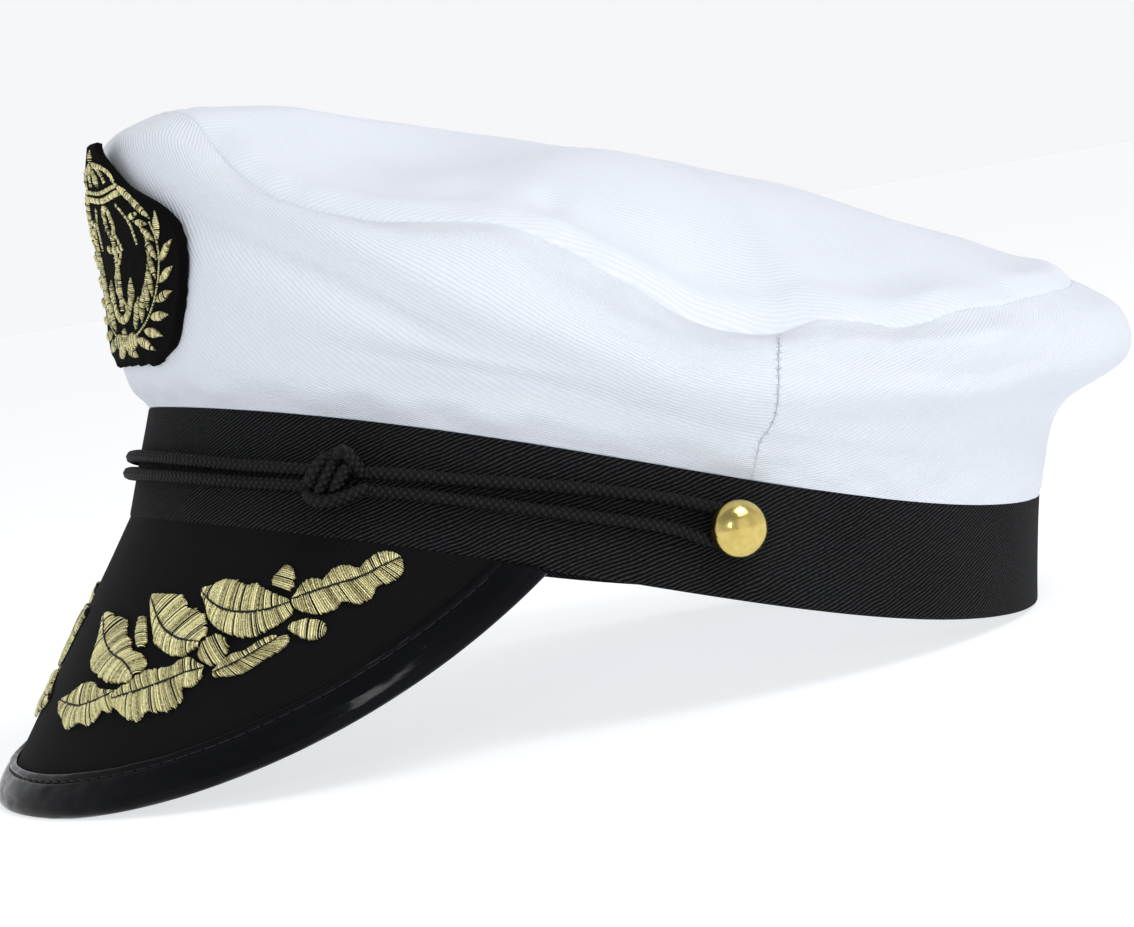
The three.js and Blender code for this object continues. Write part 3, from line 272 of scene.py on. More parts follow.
def visor_line(inset, end_reach, shares):
    """Places along the line at a distance inside the visor's outer edge, from the right end (-1) to
    the left end (+1). Each end lies where the line comes within end_reach of the band."""
    turns = VISOR_SPREAD * (1 - (1 - np.arange(61) / 60) ** 1.3)
    lengths = visor_length(turns)
    after = visor_surface(turns + 0.2, visor_length(turns + 0.2))
    before = visor_surface(turns - 0.2, visor_length(turns - 0.2))
    inward = unit(np.cross(visor_normal(turns, lengths), after - before))
    inward = np.where(inward[:, 2:] < 0, -inward, inward)
    line_turn, line_reach = walk_on_visor(turns, lengths, inward, inset)
    below = np.nonzero(line_reach < end_reach)[0]
    below = below[below > 0]
    if len(below):
        k = below[0]
        share = (line_reach[k - 1] - end_reach) / (line_reach[k - 1] - line_reach[k])
        end_turn = line_turn[k - 1] + share * (line_turn[k] - line_turn[k - 1])
        line_turn = np.append(line_turn[:k], end_turn)
        line_reach = np.append(line_reach[:k], end_reach)
    points = visor_surface(line_turn, line_reach)
    whole = run_length(points)
    target = np.abs(shares) * whole[-1]
    turn = np.sign(shares) * np.interp(target, whole, line_turn)
    return turn, np.interp(target, whole, line_reach), whole[-1]


def to_frame(points):
    """Points of the hat in millimetres as metres of the resting hat."""
    tilt = REST_TILT * RADIANS
    x, y, z = points[..., 0], points[..., 1], points[..., 2]
    level = y * math.cos(tilt) + z * math.sin(tilt)
    height = z * math.cos(tilt) - y * math.sin(tilt)
    return (np.stack([x, level, height], axis=-1) + np.array(REST_PLACE)) / 1000


# Meshes


def grid_index(columns, rows, wrapped, base):
    """Vertex number of each grid place. A wrapped grid's last column is its first one again."""
    column = np.arange(columns) % (columns - 1) if wrapped else np.arange(columns)
    return base + column[:, None] * rows + np.arange(rows)[None, :]


def grid_quads(index, flat):
    """Quads of a grid, with the grid place of every corner for its weave coordinates."""
    def corners(table):
        return np.stack([table[:-1, :-1], table[1:, :-1], table[1:, 1:], table[:-1, 1:]], axis=-1)
    return corners(index).reshape(-1, 4), corners(flat).reshape(-1, 4)


def shell(outer, inner, weave, wrapped=False):
    """Closed skin between an outer and an inner grid of points, as points, quads and the weave
    coordinates of the quads' corners."""
    columns, rows = outer.shape[:2]
    count = (columns - 1 if wrapped else columns) * rows
    flat = np.arange(columns * rows).reshape(columns, rows)
    front, back = grid_index(columns, rows, wrapped, 0), grid_index(columns, rows, wrapped, count)
    quads, places = grid_quads(front, flat)
    back_quads, back_places = grid_quads(back, flat)
    all_quads = [quads, back_quads[:, ::-1]]
    all_places = [places, back_places[:, ::-1]]
    rims = [(front[:, 0], back[:, 0], flat[:, 0]), (back[:, -1], front[:, -1], flat[:, -1])]
    if not wrapped:
        rims += [(back[0], front[0], flat[0]), (front[-1], back[-1], flat[-1])]
    for first, second, place in rims:
        all_quads.append(np.stack([first[:-1], second[:-1], second[1:], first[1:]], axis=-1))
        all_places.append(np.stack([place[:-1], place[:-1], place[1:], place[1:]], axis=-1))
    points = np.concatenate([outer[: count // rows].reshape(-1, 3), inner[: count // rows].reshape(-1, 3)])
    return points, np.concatenate(all_quads), weave.reshape(-1, 2)[np.concatenate(all_places)]


def loop_skin(loops, weave):
    """Skin through loops of points, each closed on itself. The weave coordinates have one more
    column, for the first point of each loop again."""
    count, length = loops.shape[:2]
    index = np.arange(count)[:, None] * length + (np.arange(length + 1) % length)[None, :]
    flat = np.arange(count * (length + 1)).reshape(count, length + 1)
    quads, places = grid_quads(index, flat)
    return loops.reshape(-1, 3), quads, weave.reshape(-1, 2)[places]


def tube(points, radius, sides, relief=None, outward=(0.0, 0.0, 1.0)):
    """Closed round tube along points. relief(along, angle) moves its skin out, and outward gives the
    direction of angle 0."""
    count = len(points)
    along = unit(np.gradient(points, axis=0))
    across = unit(np.cross(along, np.broadcast_to(outward, points.shape)))
    out = np.cross(across, along)
    length = run_length(points)
    angle = 2 * np.pi * np.arange(sides + 1) / sides
    size = np.broadcast_to(radius, (count,))[:, None] + 0 * angle[None, :]
    if relief is not None:
        size = size + relief(length[:, None], angle[None, :])
    around = np.cos(angle)[None, :, None] * out[:, None] + np.sin(angle)[None, :, None] * across[:, None]
    skin = points[:, None] + size[..., None] * around
    weave = np.stack(np.broadcast_arrays(length[:, None], angle[None, :] * float(np.mean(radius))), axis=-1)
    round_points, quads, corners = loop_skin(skin[:, :sides], weave)
    ring = np.arange(sides)
    following = (ring + 1) % sides
    first, last = 0 * ring + count * sides, 0 * ring + count * sides + 1
    end = (count - 1) * sides
    caps = np.concatenate([np.stack([first, first, following, ring], axis=-1),
                           np.stack([last, last, end + ring, end + following], axis=-1)])
    points = np.concatenate([round_points, points[:1], points[-1:]])
    return points, np.concatenate([quads, caps]), np.concatenate([corners, np.zeros((len(caps), 4, 2))])


def joined(parts):
    """Several skins as one."""
    points, quads, corners, base = [], [], [], 0
    for part in parts:
        points.append(part[0])
        quads.append(part[1] + base)
        corners.append(part[2])
        base += len(part[0])
    return np.concatenate(points), np.concatenate(quads), np.concatenate(corners)


# In metres: lowest place of a piece above the floor, and distance below which two points are one
FLOOR_GAP = 0.00002
SAME_PLACE = 0.0000001


def piece(name, skin, material, nodes=(), crease=50):
    """Object from a skin in the hat's own millimetres, riding on the hat and replacing CAD nodes."""
    points, quads, corners = skin
    places = to_frame(points)
    places[:, 2] = np.maximum(places[:, 2], FLOOR_GAP)
    faces, face_corners = [], []
    for quad, corner in zip(quads.tolist(), corners.tolist()):
        kept = [k for k in range(4) if quad[k] != quad[k - 1]]
        if len(kept) > 2:
            faces.append([quad[k] for k in kept])
            face_corners.extend(corner[k] for k in kept)
    mesh = bpy.data.meshes.new(name)
    mesh.from_pydata(places.tolist(), [], faces)
    layer = mesh.uv_layers.new(name="weave")
    layer.data.foreach_set("uv", np.array(face_corners, np.float32).ravel())
    work = bmesh.new()
    work.from_mesh(mesh)
    bmesh.ops.remove_doubles(work, verts=work.verts, dist=SAME_PLACE)
    bmesh.ops.recalc_face_normals(work, faces=work.faces)
    work.to_mesh(mesh)
    work.free()
    mesh.shade_smooth()
    mesh.set_sharp_from_angle(angle=math.radians(crease))
    mesh.materials.append(material)
    made = bpy.data.objects.new(name, mesh)
    bpy.context.scene.collection.objects.link(made)
    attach(made, "root")
    if nodes:
        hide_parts(*nodes)
    return made


# Materials


class Value:
    """Output of a shader node. Sums, products and powers of it are new maths nodes."""

    def __init__(self, socket):
        self.socket = socket

    def maths(self, operation, other=0.0):
        made = self.socket.id_data.nodes.new("ShaderNodeMath")
        made.operation = operation
        connect(self, made.inputs[0])
        connect(other, made.inputs[1])
        return Value(made.outputs[0])

    def __add__(self, other):
        return self.maths("ADD", other)

    def __sub__(self, other):
        return self.maths("SUBTRACT", other)

    def __mul__(self, other):
        return self.maths("MULTIPLY", other)

    def __pow__(self, other):
        return self.maths("POWER", other)


def connect(value, socket):
    """Links a node's output to a socket, or sets the socket to a constant."""
    if isinstance(value, Value):
        socket.id_data.links.new(value.socket, socket)
    else:
        socket.default_value = value


def node(tree, kind, inputs=None, output=0, **settings):
    """Output of a new shader node, with its sockets set to values or linked to other outputs."""
    made = tree.nodes.new(kind)
    for key, value in settings.items():
        setattr(made, key, value)
    for key, value in (inputs or {}).items():
        connect(value, made.inputs[key])
    return Value(made.outputs[output])


def wave(value, period):
    """Sine wave between 0 and 1 with a period."""
    return ((value * (2 * math.pi / period)).maths("SINE") + 1.0) * 0.5


class Look:
    """Material in the making: its shader and its textures."""

    def __init__(self, name, roughness, **sockets):
        self.material = bpy.data.materials.new(name)
        self.material.use_nodes = True
        self.tree = self.material.node_tree
        self.shader = self.tree.nodes["Principled BSDF"]
        self.set(Roughness=roughness, **sockets)

    def set(self, **sockets):
        for key, value in sockets.items():
            connect(value, self.shader.inputs[key.replace("_", " ")])

    def weave(self):
        """Weave coordinates in millimetres: along and across the ribs, stitches or yarns."""
        return node(self.tree, "ShaderNodeUVMap", uv_map="weave")

    def place(self):
        """Coordinates of the piece in metres."""
        return node(self.tree, "ShaderNodeTexCoord", output="Object")

    def parts(self, vector):
        split = self.tree.nodes.new("ShaderNodeSeparateXYZ")
        connect(vector, split.inputs[0])
        return Value(split.outputs[0]), Value(split.outputs[1])

    def stretched(self, vector, scale):
        return node(self.tree, "ShaderNodeVectorMath", {0: vector, 1: scale}, operation="MULTIPLY")

    def noise(self, vector, scale, detail=2.0):
        return node(self.tree, "ShaderNodeTexNoise", {"Vector": vector, "Scale": scale, "Detail": detail})

    def chance(self, number):
        """Random value of a whole number."""
        return node(self.tree, "ShaderNodeTexWhiteNoise", {"W": number}, noise_dimensions="1D")

    def mix(self, share, first, second):
        return node(self.tree, "ShaderNodeMix", {0: share, 6: first, 7: second}, 2, data_type="RGBA")

    def blend(self, share, dark, light):
        return self.mix(share, (*dark, 1), (*light, 1))

    def bump(self, height, distance):
        """Bump of a height between 0 and 1, its depth in metres."""
        inputs = {"Height": height, "Distance": distance, "Strength": 1.0}
        self.set(Normal=node(self.tree, "ShaderNodeBump", inputs))


# Colour of the painted highlight flecks on the crests of the twill's ribs and yarns
CREST_HIGHLIGHT_COLOUR = (0.085, 0.087, 0.09, 1)


def twill(name, light, dark, pitch, slant, depth, roughness, sheen, gleam, highlight_flecks=0.0, contrast=1.0):
    """Twill cloth: slanted ribs with the yarns crossing them, painted shade in the grooves between the ribs,
    and painted highlight flecks where both are high.
    """
    look = Look(name, roughness, Sheen_Weight=sheen, Sheen_Roughness=0.4, Specular_IOR_Level=gleam)
    weave = look.weave()
    inputs = {"Vector": weave, "Angle": math.radians(slant)}
    along, level = look.parts(node(look.tree, "ShaderNodeVectorRotate", inputs, rotation_type="Z_AXIS"))
    across = level + (look.noise(weave, 0.09) - 0.5) * 1.6
    rib = wave(across, pitch)
    yarn = wave(along + across * 0.7, pitch * 0.55)
    # The rib wave darkens the colour in the grooves between the ribs: painted shade. The two noises are the
    # cloth's own uneven tone.
    share = rib * 0.4 + look.noise(weave, 0.035, 4.0) * 0.3 + look.noise(weave, 0.9, 3.0) * 0.3
    colour = look.blend((share - 0.5) * contrast + 0.5, dark, light)
    # Light flecks where ribs and yarns are both high: painted highlights on their crests.
    if highlight_flecks:
        chance = look.noise(weave, 1.3, 2.0) ** 2.0 * highlight_flecks
        colour = look.mix((rib * yarn) ** 2.5 * chance, colour, CREST_HIGHLIGHT_COLOUR)
    look.set(Base_Color=colour)
    look.bump(rib * 0.8 + yarn * 0.2, depth)
    return look.material


def felt():
    """Dull felt with a short nap."""
    look = Look("black_felt", 0.95, Sheen_Weight=0.01, Sheen_Roughness=0.6, Specular_IOR_Level=0.03)
    nap = look.noise(look.place(), 2600.0, 4.0) + look.noise(look.place(), 300.0, 3.0)
    look.set(Base_Color=look.blend(nap * 0.5, (0.0008, 0.0008, 0.0008), (0.0055, 0.0055, 0.006)))
    look.bump(nap, 0.0003)
    return look.material


def gloss_vinyl():
    """Glossy strip, slightly uneven along its length."""
    look = Look("gloss_binding", 0.2, Specular_IOR_Level=0.06)
    swell = look.noise(look.stretched(look.weave(), (0.35, 1.0, 1.0)), 0.16, 2.0)
    grain = look.noise(look.weave(), 2.5, 3.0)
    colour = look.blend(swell, (0.0025, 0.0025, 0.003), (0.006, 0.0065, 0.0075))
    look.set(Base_Color=colour, Roughness=grain * 0.06 + swell * 0.1 + 0.03)
    look.bump(swell + grain * 0.03, 0.0009)
    return look.material


def gold_thread():
    """Metallic thread: each stitch has its own shade, and the thread's twist glints along it, through its
    bump and as painted highlights in its colour, with painted glints and sparkles besides.
    """
    look = Look("gold_thread", 0.36, Metallic=0.6, Specular_IOR_Level=0.5)
    weave = look.weave()
    stitch, along = look.parts(weave)
    shade = look.chance(stitch.maths("FLOOR"))
    twist = wave(along + stitch * 0.5, 0.42)
    glint = look.noise(look.stretched(weave, (1.7, 0.9, 1.0)), 1.6, 3.0)
    painted_sparkle = look.noise(weave, 5.0, 2.0) ** 3.0
    # Glints, sparkles and the bright turns of the twist are painted highlights in the base colour.
    share = shade + glint * 2.1 + painted_sparkle * 3.4 + twist * 0.3 - 1.4
    shades = look.blend(share, (0.13, 0.09, 0.016), (1.0, 0.95, 0.52))
    # Dark line between two stitches, wider where they part: where they part it is the black ground below,
    # and the narrow line at every joint is painted shade between stitches.
    from_line = ((stitch + 0.5).maths("FRACT") - 0.5).maths("ABSOLUTE")
    width = look.chance(stitch.maths("ROUND")).maths("GREATER_THAN", 0.84) * 0.3 + 0.08
    colour = look.mix(from_line.maths("LESS_THAN", width), shades, (0.012, 0.01, 0.005, 1))
    look.set(Base_Color=colour, Roughness=glint * 0.35 + 0.2)
    look.bump(twist + glint, 0.00006)
    return look.material


def sewing_thread(name, light, dark):
    """Plain twisted thread."""
    look = Look(name, 0.55, Sheen_Weight=0.02, Sheen_Roughness=0.4, Specular_IOR_Level=0.2)
    weave = look.weave()
    along, around = look.parts(weave)
    fibre = wave(along + around, 0.3)
    fleck = look.noise(weave, 3.0, 3.0)
    look.set(Base_Color=look.blend(fibre * 0.4 + fleck * 0.6, dark, light))
    look.bump(fibre + fleck, 0.00005)
    return look.material


def braided_cord():
    """Braided cord: its crossing yarns are lighter and the holes between them darker, as painted highlights
    and painted shade.
    """
    look = Look("black_cord", 0.45, Specular_IOR_Level=0.14)
    weave = look.weave()
    along, around = look.parts(weave)
    fibre = wave(along + around, 0.3)
    step = along.maths("DIVIDE", BRAID_PITCH)
    share = around * (BRAID_YARNS / (2 * math.pi * CORD_RADIUS))
    crossing = (step + share, step - share)
    first, second = ((cross * math.pi).maths("SINE").maths("ABSOLUTE") for cross in crossing)
    yarns = first * second
    # Colour light on the crossing yarns and dark in the holes between them: painted highlight and painted
    # shade.
    light = yarns * (fibre * 0.3 + look.noise(weave, 3.0, 3.0))
    look.set(Base_Color=look.blend(light, (0.0003, 0.0003, 0.0003), (0.022, 0.022, 0.024)))
    look.bump(yarns + fibre * 0.3, 0.00012)
    return look.material


def polished_brass():
    """Polished brass with a slight haze."""
    look = Look("brass", 0.16, Metallic=1.0)
    haze = look.noise(look.place(), 420.0, 3.0)
    specks = look.noise(look.place(), 3500.0, 2.0)
    look.set(Base_Color=look.blend(haze, (0.5, 0.37, 0.09), (0.84, 0.68, 0.25)),
             Roughness=haze * 0.14 + specks * 0.1 + 0.06)
    look.bump(specks, 0.000015)
    return look.material


WHITE = (0.865, 0.9, 0.955), (0.7, 0.745, 0.82)
BAND_BLACK = (0.0125, 0.013, 0.0138), (0.0006, 0.0006, 0.0008)
VISOR_BLACK = (0.0075, 0.0075, 0.0085), (0.003, 0.003, 0.0035)
WHITE_FINISH = {"roughness": 0.75, "sheen": 0.15, "gleam": 0.2}
white_side = twill("white_twill_side", *WHITE, pitch=0.95, slant=47, depth=0.00013, **WHITE_FINISH)
white_back = twill("white_twill_back", *WHITE, pitch=0.98, slant=8, depth=0.00013, **WHITE_FINISH)
white_top = twill("white_twill_top", *WHITE, pitch=0.9, slant=100, depth=0.00006, **WHITE_FINISH)
black_band = twill("black_twill_band", *BAND_BLACK, pitch=0.72, slant=-32, depth=0.0002,
                   roughness=0.75, sheen=0.003, gleam=0.05, highlight_flecks=3.0, contrast=2.2)
black_visor = twill("black_twill_visor", *VISOR_BLACK, pitch=0.6, slant=-40, depth=0.00005,
                    roughness=0.85, sheen=0.01, gleam=0.08)
black_felt = felt()
gloss_binding = gloss_vinyl()
gold = gold_thread()
black_cord = braided_cord()
black_thread = sewing_thread("black_thread", (0.02, 0.02, 0.022), (0.003, 0.003, 0.003))
white_thread = sewing_thread("white_thread", (0.9, 0.9, 0.93), (0.6, 0.62, 0.68))
brass = polished_brass()


# Crown

# Folds of the side panels on both sides of the hat, each a smooth run of places: a turn, a height
# as a share of CROWN_RISE, a depth (below 0 is a raised roll) and a half width in millimetres.
SIDE_FOLDS = [
    # Drag crease from the badge down to the waist
    [(13, 0.7, 0.4, 5), (21.5, 0.63, 2.0, 5), (30, 0.56, 2.7, 4.8), (40, 0.474, 3.0, 4.5),
     (47.5, 0.393, 3.2, 4.0), (53.5, 0.322, 3.0, 3.4), (58, 0.279, 2.2, 3.2), (66, 0.242, 0.9, 3.4),
     (72, 0.21, 0.0, 3.5)],
    # Roll above it
    [(20, 0.75, 0.0, 6), (30, 0.66, -0.9, 6), (40, 0.58, -1.4, 6), (50, 0.49, -1.5, 6),
     (60, 0.4, -1.1, 6), (72, 0.28, -0.5, 6), (84, 0.18, 0.0, 6)],
    # Crease along the waist
    [(25, 0.25, 0.0, 4), (32.5, 0.237, 1.4, 4), (40.5, 0.207, 2.2, 3.6), (47, 0.183, 2.7, 3.3),
     (55, 0.172, 2.8, 3.0), (62, 0.163, 2.6, 3.0), (69, 0.138, 2.1, 3.2), (76.5, 0.108, 1.6, 3.2),
     (88.5, 0.08, 1.1, 3.2), (99, 0.071, 0.9, 3.2), (111, 0.075, 0.6, 3.2), (122, 0.09, 0.0, 3.2)],
    # Waist of the back
    [(84, 0.12, 0.0, 4), (90.5, 0.135, 0.9, 4), (99, 0.146, 1.4, 4), (108, 0.184, 1.6, 4),
     (117.5, 0.233, 1.6, 4.3), (126.5, 0.295, 1.4, 4.8), (145, 0.36, 1.1, 5), (167, 0.407, 0.7, 5),
     (180, 0.41, 0.6, 5)],
    # Shaded hollow under the top seam in front of the side seam
    [(60, 0.56, 0.0, 4), (66, 0.5, 1.3, 4.2), (73, 0.4, 1.6, 4.2), (80, 0.33, 1.2, 4.0),
     (87, 0.32, 0.4, 3.6)],
    # Puckers behind the side seam
    [(94.5, 0.38, 0.0, 2.6), (97, 0.4, -1.2, 2.8), (100, 0.4, -1.5, 3.0), (102.5, 0.385, 0.0, 2.6)],
    [(101, 0.42, 0.0, 3), (105, 0.425, -1.6, 3.2), (110, 0.45, -2.1, 3.6), (115, 0.5, -1.9, 3.6),
     (120, 0.56, 0.0, 3.4)],
    [(98, 0.33, 0.0, 3), (104, 0.34, 1.0, 3), (112, 0.36, 1.2, 3.4), (120, 0.42, 0.9, 3.6),
     (128, 0.5, 0.0, 3.6)],
]

# Dents of the top panel on both sides: turn, reach from its middle (0) to its seam (1), half size
# along and across the turn's direction as shares of BAND_HALF_WIDTH, and depth in millimetres.
TOP_DENTS = [
    (32, 0.62, 0.22, 0.22, 3.6), (62, 0.7, 0.16, 0.16, 1.6), (78, 0.6, 0.2, 0.2, -2.0),
    (108, 0.72, 0.24, 0.24, 3.6), (150, 0.75, 0.2, 0.2, 1.6), (47, 0.85, 0.12, 0.12, -1.6),
    (62, 0.86, 0.1, 0.035, 1.6), (96, 0.88, 0.03, 0.12, 0.9), (126, 0.9, 0.1, 0.06, -1.4),
]

# Rolled lip of the top panel just inside its seam: turn and height in millimetres
LIP_ROWS = np.array([
    (0, 0.6), (15, 0.8), (25, 1.5), (40, 1.7), (52, 1.3), (57, 0.4), (64, 1.5), (78, 1.8), (88, 1.2),
    (94, 0.2), (102, 1.0), (112, 1.3), (120, 0.4), (130, 1.5), (150, 1.3), (180, 0.8),
])

# Bend of the side seam: share of its height and turn in degrees
SEAM_BEND = np.array([
    (0, 0), (0.24, -0.25), (0.37, 0.25), (0.49, -0.4), (0.6, -0.7), (0.76, -0.62), (1, 0),
])

# Millimetres of a degree of turn, the usual height of the side panels along their cloth and the
# radius of the arc in which they are cut
SIDE_ARC = (BAND_HALF_WIDTH + BAND_HALF_LENGTH) / 2 * RADIANS
SIDE_LENGTH = 62
CUT_RADIUS = 198


def fold_depth(turn, height):
    """Depth of the side panels' folds at a turn and a height above the hat's zero level."""
    place, height = np.broadcast_arrays(folded(turn) * SIDE_ARC, height)
    deepest, highest = np.zeros(place.shape), np.zeros(place.shape)
    for fold in SIDE_FOLDS:
        rows = np.array(fold, float)
        steps = np.linspace(0, len(rows) - 1, 6 * len(rows))
        knots = np.arange(len(rows), dtype=float)
        straight = [np.interp(steps, knots, rows[:, k]) for k in (0, 1)]
        fine = np.stack(straight + [along_rows(knots, rows[:, k], steps) for k in (2, 3)], axis=-1)
        across, up = fine[:, 0] * SIDE_ARC, BAND_HEIGHT + fine[:, 1] * CROWN_RISE
        for k in range(len(fine) - 1):
            run = (across[k + 1] - across[k], up[k + 1] - up[k])
            reach = run[0] ** 2 + run[1] ** 2
            share = np.clip(((place - across[k]) * run[0] + (height - up[k]) * run[1]) / reach, 0, 1)
            distance = np.hypot(place - across[k] - share * run[0], height - up[k] - share * run[1])
            depth = fine[k, 2] + share * (fine[k + 1, 2] - fine[k, 2])
            width = fine[k, 3] + share * (fine[k + 1, 3] - fine[k, 3])
            depth = depth * np.exp(-((distance / width) ** 1.7))
            deepest, highest = np.maximum(deepest, depth), np.minimum(highest, depth)
    return deepest + highest


def ripple(x, y, seed, length, height):
    """Slight irregular swelling of cloth, from waves in several directions."""
    waves = np.random.default_rng(seed)
    total = np.zeros(np.broadcast(x, y).shape)
    for _ in range(9):
        angle, shift = waves.uniform(0, np.pi), waves.uniform(0, 2 * np.pi)
        size = length * waves.uniform(0.6, 1.6)
        total += np.sin(2 * np.pi * (x * np.cos(angle) + y * np.sin(angle)) / size + shift)
    return height * total / 3


def dip(distance, radius):
    """How far a rolled cloth edge turns down near its seam."""
    inside = np.clip(radius - distance, 0, radius)
    return radius - np.sqrt(radius**2 - inside**2)


def puckers(distance, middle, half, place, period, sway, drift):
    """Uneven row of puckers along a seam, strongest at a distance from it."""
    return bell(distance, middle, half) * np.sin(place / period + sway * np.sin(place / drift))


# Strip of doubled cloth behind each side seam: its end in degrees of turn and its height
STRIP_END = 5.2
STRIP_HEIGHT = 0.32


def side_surface(turn, v):
    """Side panel with its folds, its seam puckers and its edges rolled in."""
    turn, v = np.broadcast_arrays(np.asarray(turn, float), np.asarray(v, float))
    middle = np.mod(turn + 180, 360) - 180
    bend = along_rows(SEAM_BEND[:, 0], SEAM_BEND[:, 1], v)
    bend = bend * bell(np.abs(middle), SIDE_SEAM_TURN, 7)
    turn = turn + bend * np.sign(middle)
    point = plain_side(turn, v)
    normal = normal_of(plain_side, turn, v, 0.5, 0.02)
    place = turn * SIDE_ARC
    fade = np.clip(np.minimum(8 * v, 5 * (1 - v)), 0, 1)
    push = -fade * fold_depth(turn, point[..., 2])
    push += fade * ripple(place, point[..., 2], seed=3, length=34, height=0.22)
    below_seam = (1 - v) * SIDE_LENGTH
    push += 0.28 * puckers(below_seam, 3, 3, place, period=2.1, sway=1.3, drift=9)
    behind = folded(turn - bend * np.sign(middle)) - SIDE_SEAM_TURN
    from_side_seam = np.abs(behind) * SIDE_ARC
    push -= 0.11 * bell(from_side_seam, 0, 1.4) * (1 + np.sin(point[..., 2] * 2 * np.pi / 3.4))
    above_band = point[..., 2] - edge_wave(turn) - BAND_HEIGHT
    push -= 0.4 * puckers(above_band, 3.2, 2, place, period=3.3, sway=1, drift=13)
    strip = np.clip((STRIP_END - behind) / 0.7, 0, 1) * (behind > 0)
    push += STRIP_HEIGHT * np.clip(6 * v - 0.6, 0, 1) * fade * strip * strip * (3 - 2 * strip)
    push -= np.maximum(dip(below_seam, 1.0), dip(from_side_seam, 0.2))
    return point + normal * push[..., None]


def ridge_height(y):
    """Height of the top panel's ridge at a distance from the hat's middle."""
    front, back = -plain_side(0, 1)[1], plain_side(180, 1)[1]
    along = np.where(y < 0, y / front, y / back)
    return BAND_HEIGHT + CROWN_RISE * along_rows(RIDGE_ROWS[:, 0], RIDGE_ROWS[:, 1], along)


def top_surface(turn, reach):
    """Top panel with its dents and the rolled lip along its seam."""
    turn, reach = np.broadcast_arrays(np.asarray(turn, float), np.asarray(reach, float))
    seam = plain_side(turn, 1.0)
    x, y = reach * seam[..., 0], reach * seam[..., 1]
    drop = (ridge_height(seam[..., 1]) - seam[..., 2]) * np.abs(reach) ** DOME_POWER
    z = ridge_height(y) - drop
    fade = np.clip(6 * (1 - reach), 0, 1)
    for dent_turn, dent_reach, size_along, size_across, depth in TOP_DENTS:
        for side in (-1, 1):
            middle = plain_side(side * dent_turn, 1.0)[:2] * dent_reach
            way = middle / np.linalg.norm(middle)
            along = (x - middle[0]) * way[0] + (y - middle[1]) * way[1]
            across = (y - middle[1]) * way[0] - (x - middle[0]) * way[1]
            far = (along / size_along) ** 2 + (across / size_across) ** 2
            z = z - fade * depth * np.exp(-far / BAND_HALF_WIDTH**2)
    inside_seam = (1 - reach) * np.linalg.norm(seam[..., :2], axis=-1)
    lip = along_rows(LIP_ROWS[:, 0], LIP_ROWS[:, 1], folded(turn))
    z = z + lip * (bell(inside_seam, 4.5, 3.6) - 0.55 * bell(inside_seam, 14, 6))
    z = z + fade * ripple(x, y, seed=5, length=42, height=0.3)
    z = z + 0.22 * puckers(inside_seam, 3, 3, turn * SIDE_ARC, period=2.3, sway=1.7, drift=8)
    z = z - dip(inside_seam, 1.0)
    return np.stack(np.broadcast_arrays(x, y, z), axis=-1)


def crowded(start, end, count, extra):
    """Even steps between two values, with closer ones near both ends."""
    near = np.array([0.06, 0.14, 0.25, 0.4, 0.6, 0.8, 1.0, 1.4, 1.9]) * extra
    even = np.linspace(start + 2.4 * extra, end - 2.4 * extra, count)
    return np.concatenate([[start], start + near, even, (end - near)[::-1], [end]])


def side_weave(turn, v):
    """Weave coordinates of a side panel cut in an arc from flat cloth."""
    angle = turn * SIDE_ARC / CUT_RADIUS
    radius = CUT_RADIUS + v * SIDE_LENGTH
    return np.stack([radius * np.sin(angle), radius * np.cos(angle)], axis=-1)


def side_panel(name, start, end, node, material):
    """Side panel between two turns. Its lower edge runs on a little behind the band."""
    turn = crowded(start, end, 236, 0.6)[:, None]
    v = crowded(-0.007, 1, 52, 0.016)[None, :]
    outer = side_surface(turn, v)
    normal = normal_of(plain_side, turn, v, 0.5, 0.02)
    weave = side_weave(*np.broadcast_arrays(np.mod(turn, 360) if start > 0 else turn, v))
    return piece(name, shell(outer, outer - normal * CROWN_WALL, weave), material, [node])


side_panel("crown_front_cloth", -SIDE_SEAM_TURN, SIDE_SEAM_TURN, "crown_side_front", white_side)
side_panel("crown_back_cloth", SIDE_SEAM_TURN, 360 - SIDE_SEAM_TURN, "crown_side_back", white_back)


def seam_stitches():
    """Small stitches across both side seams."""
    parts = []
    for side in (-1, 1):
        for v in np.arange(0.04, 0.97, 0.045):
            turn = side * (SIDE_SEAM_TURN + np.linspace(-0.3, 0.3, 6))
            points = side_surface(turn, np.full(6, v))
            outward = normal_of(plain_side, turn, np.full(6, v), 0.5, 0.02)
            points = points + outward * (0.16 * np.cos(np.linspace(-1.5, 1.5, 6)))[:, None]
            parts.append(tube(points, 0.17, 7, outward=outward))
    return joined(parts)


piece("side_seam_stitches", seam_stitches(), white_thread)

top_turn = np.linspace(0, 360, 315)[:, None]
top_rim = 1 - np.array([3.4, 2.6, 2.0, 1.5, 1.1, 0.8, 0.55, 0.35, 0.2, 0.1, 0]) / 95
top_reach = np.concatenate([np.linspace(0, 0.955, 48), top_rim])[None, :]
top_outer = top_surface(top_turn, top_reach)
top_skin = shell(top_outer, top_outer - [0, 0, CROWN_WALL], top_outer[..., :2], wrapped=True)
piece("crown_top_cloth", top_skin, white_top, ["crown_top"])


# Head band, visor and binding


def flare_at(share):
    """How far the band's outer face stands out at a share of its height."""
    return BAND_FLARE * (1 - share)


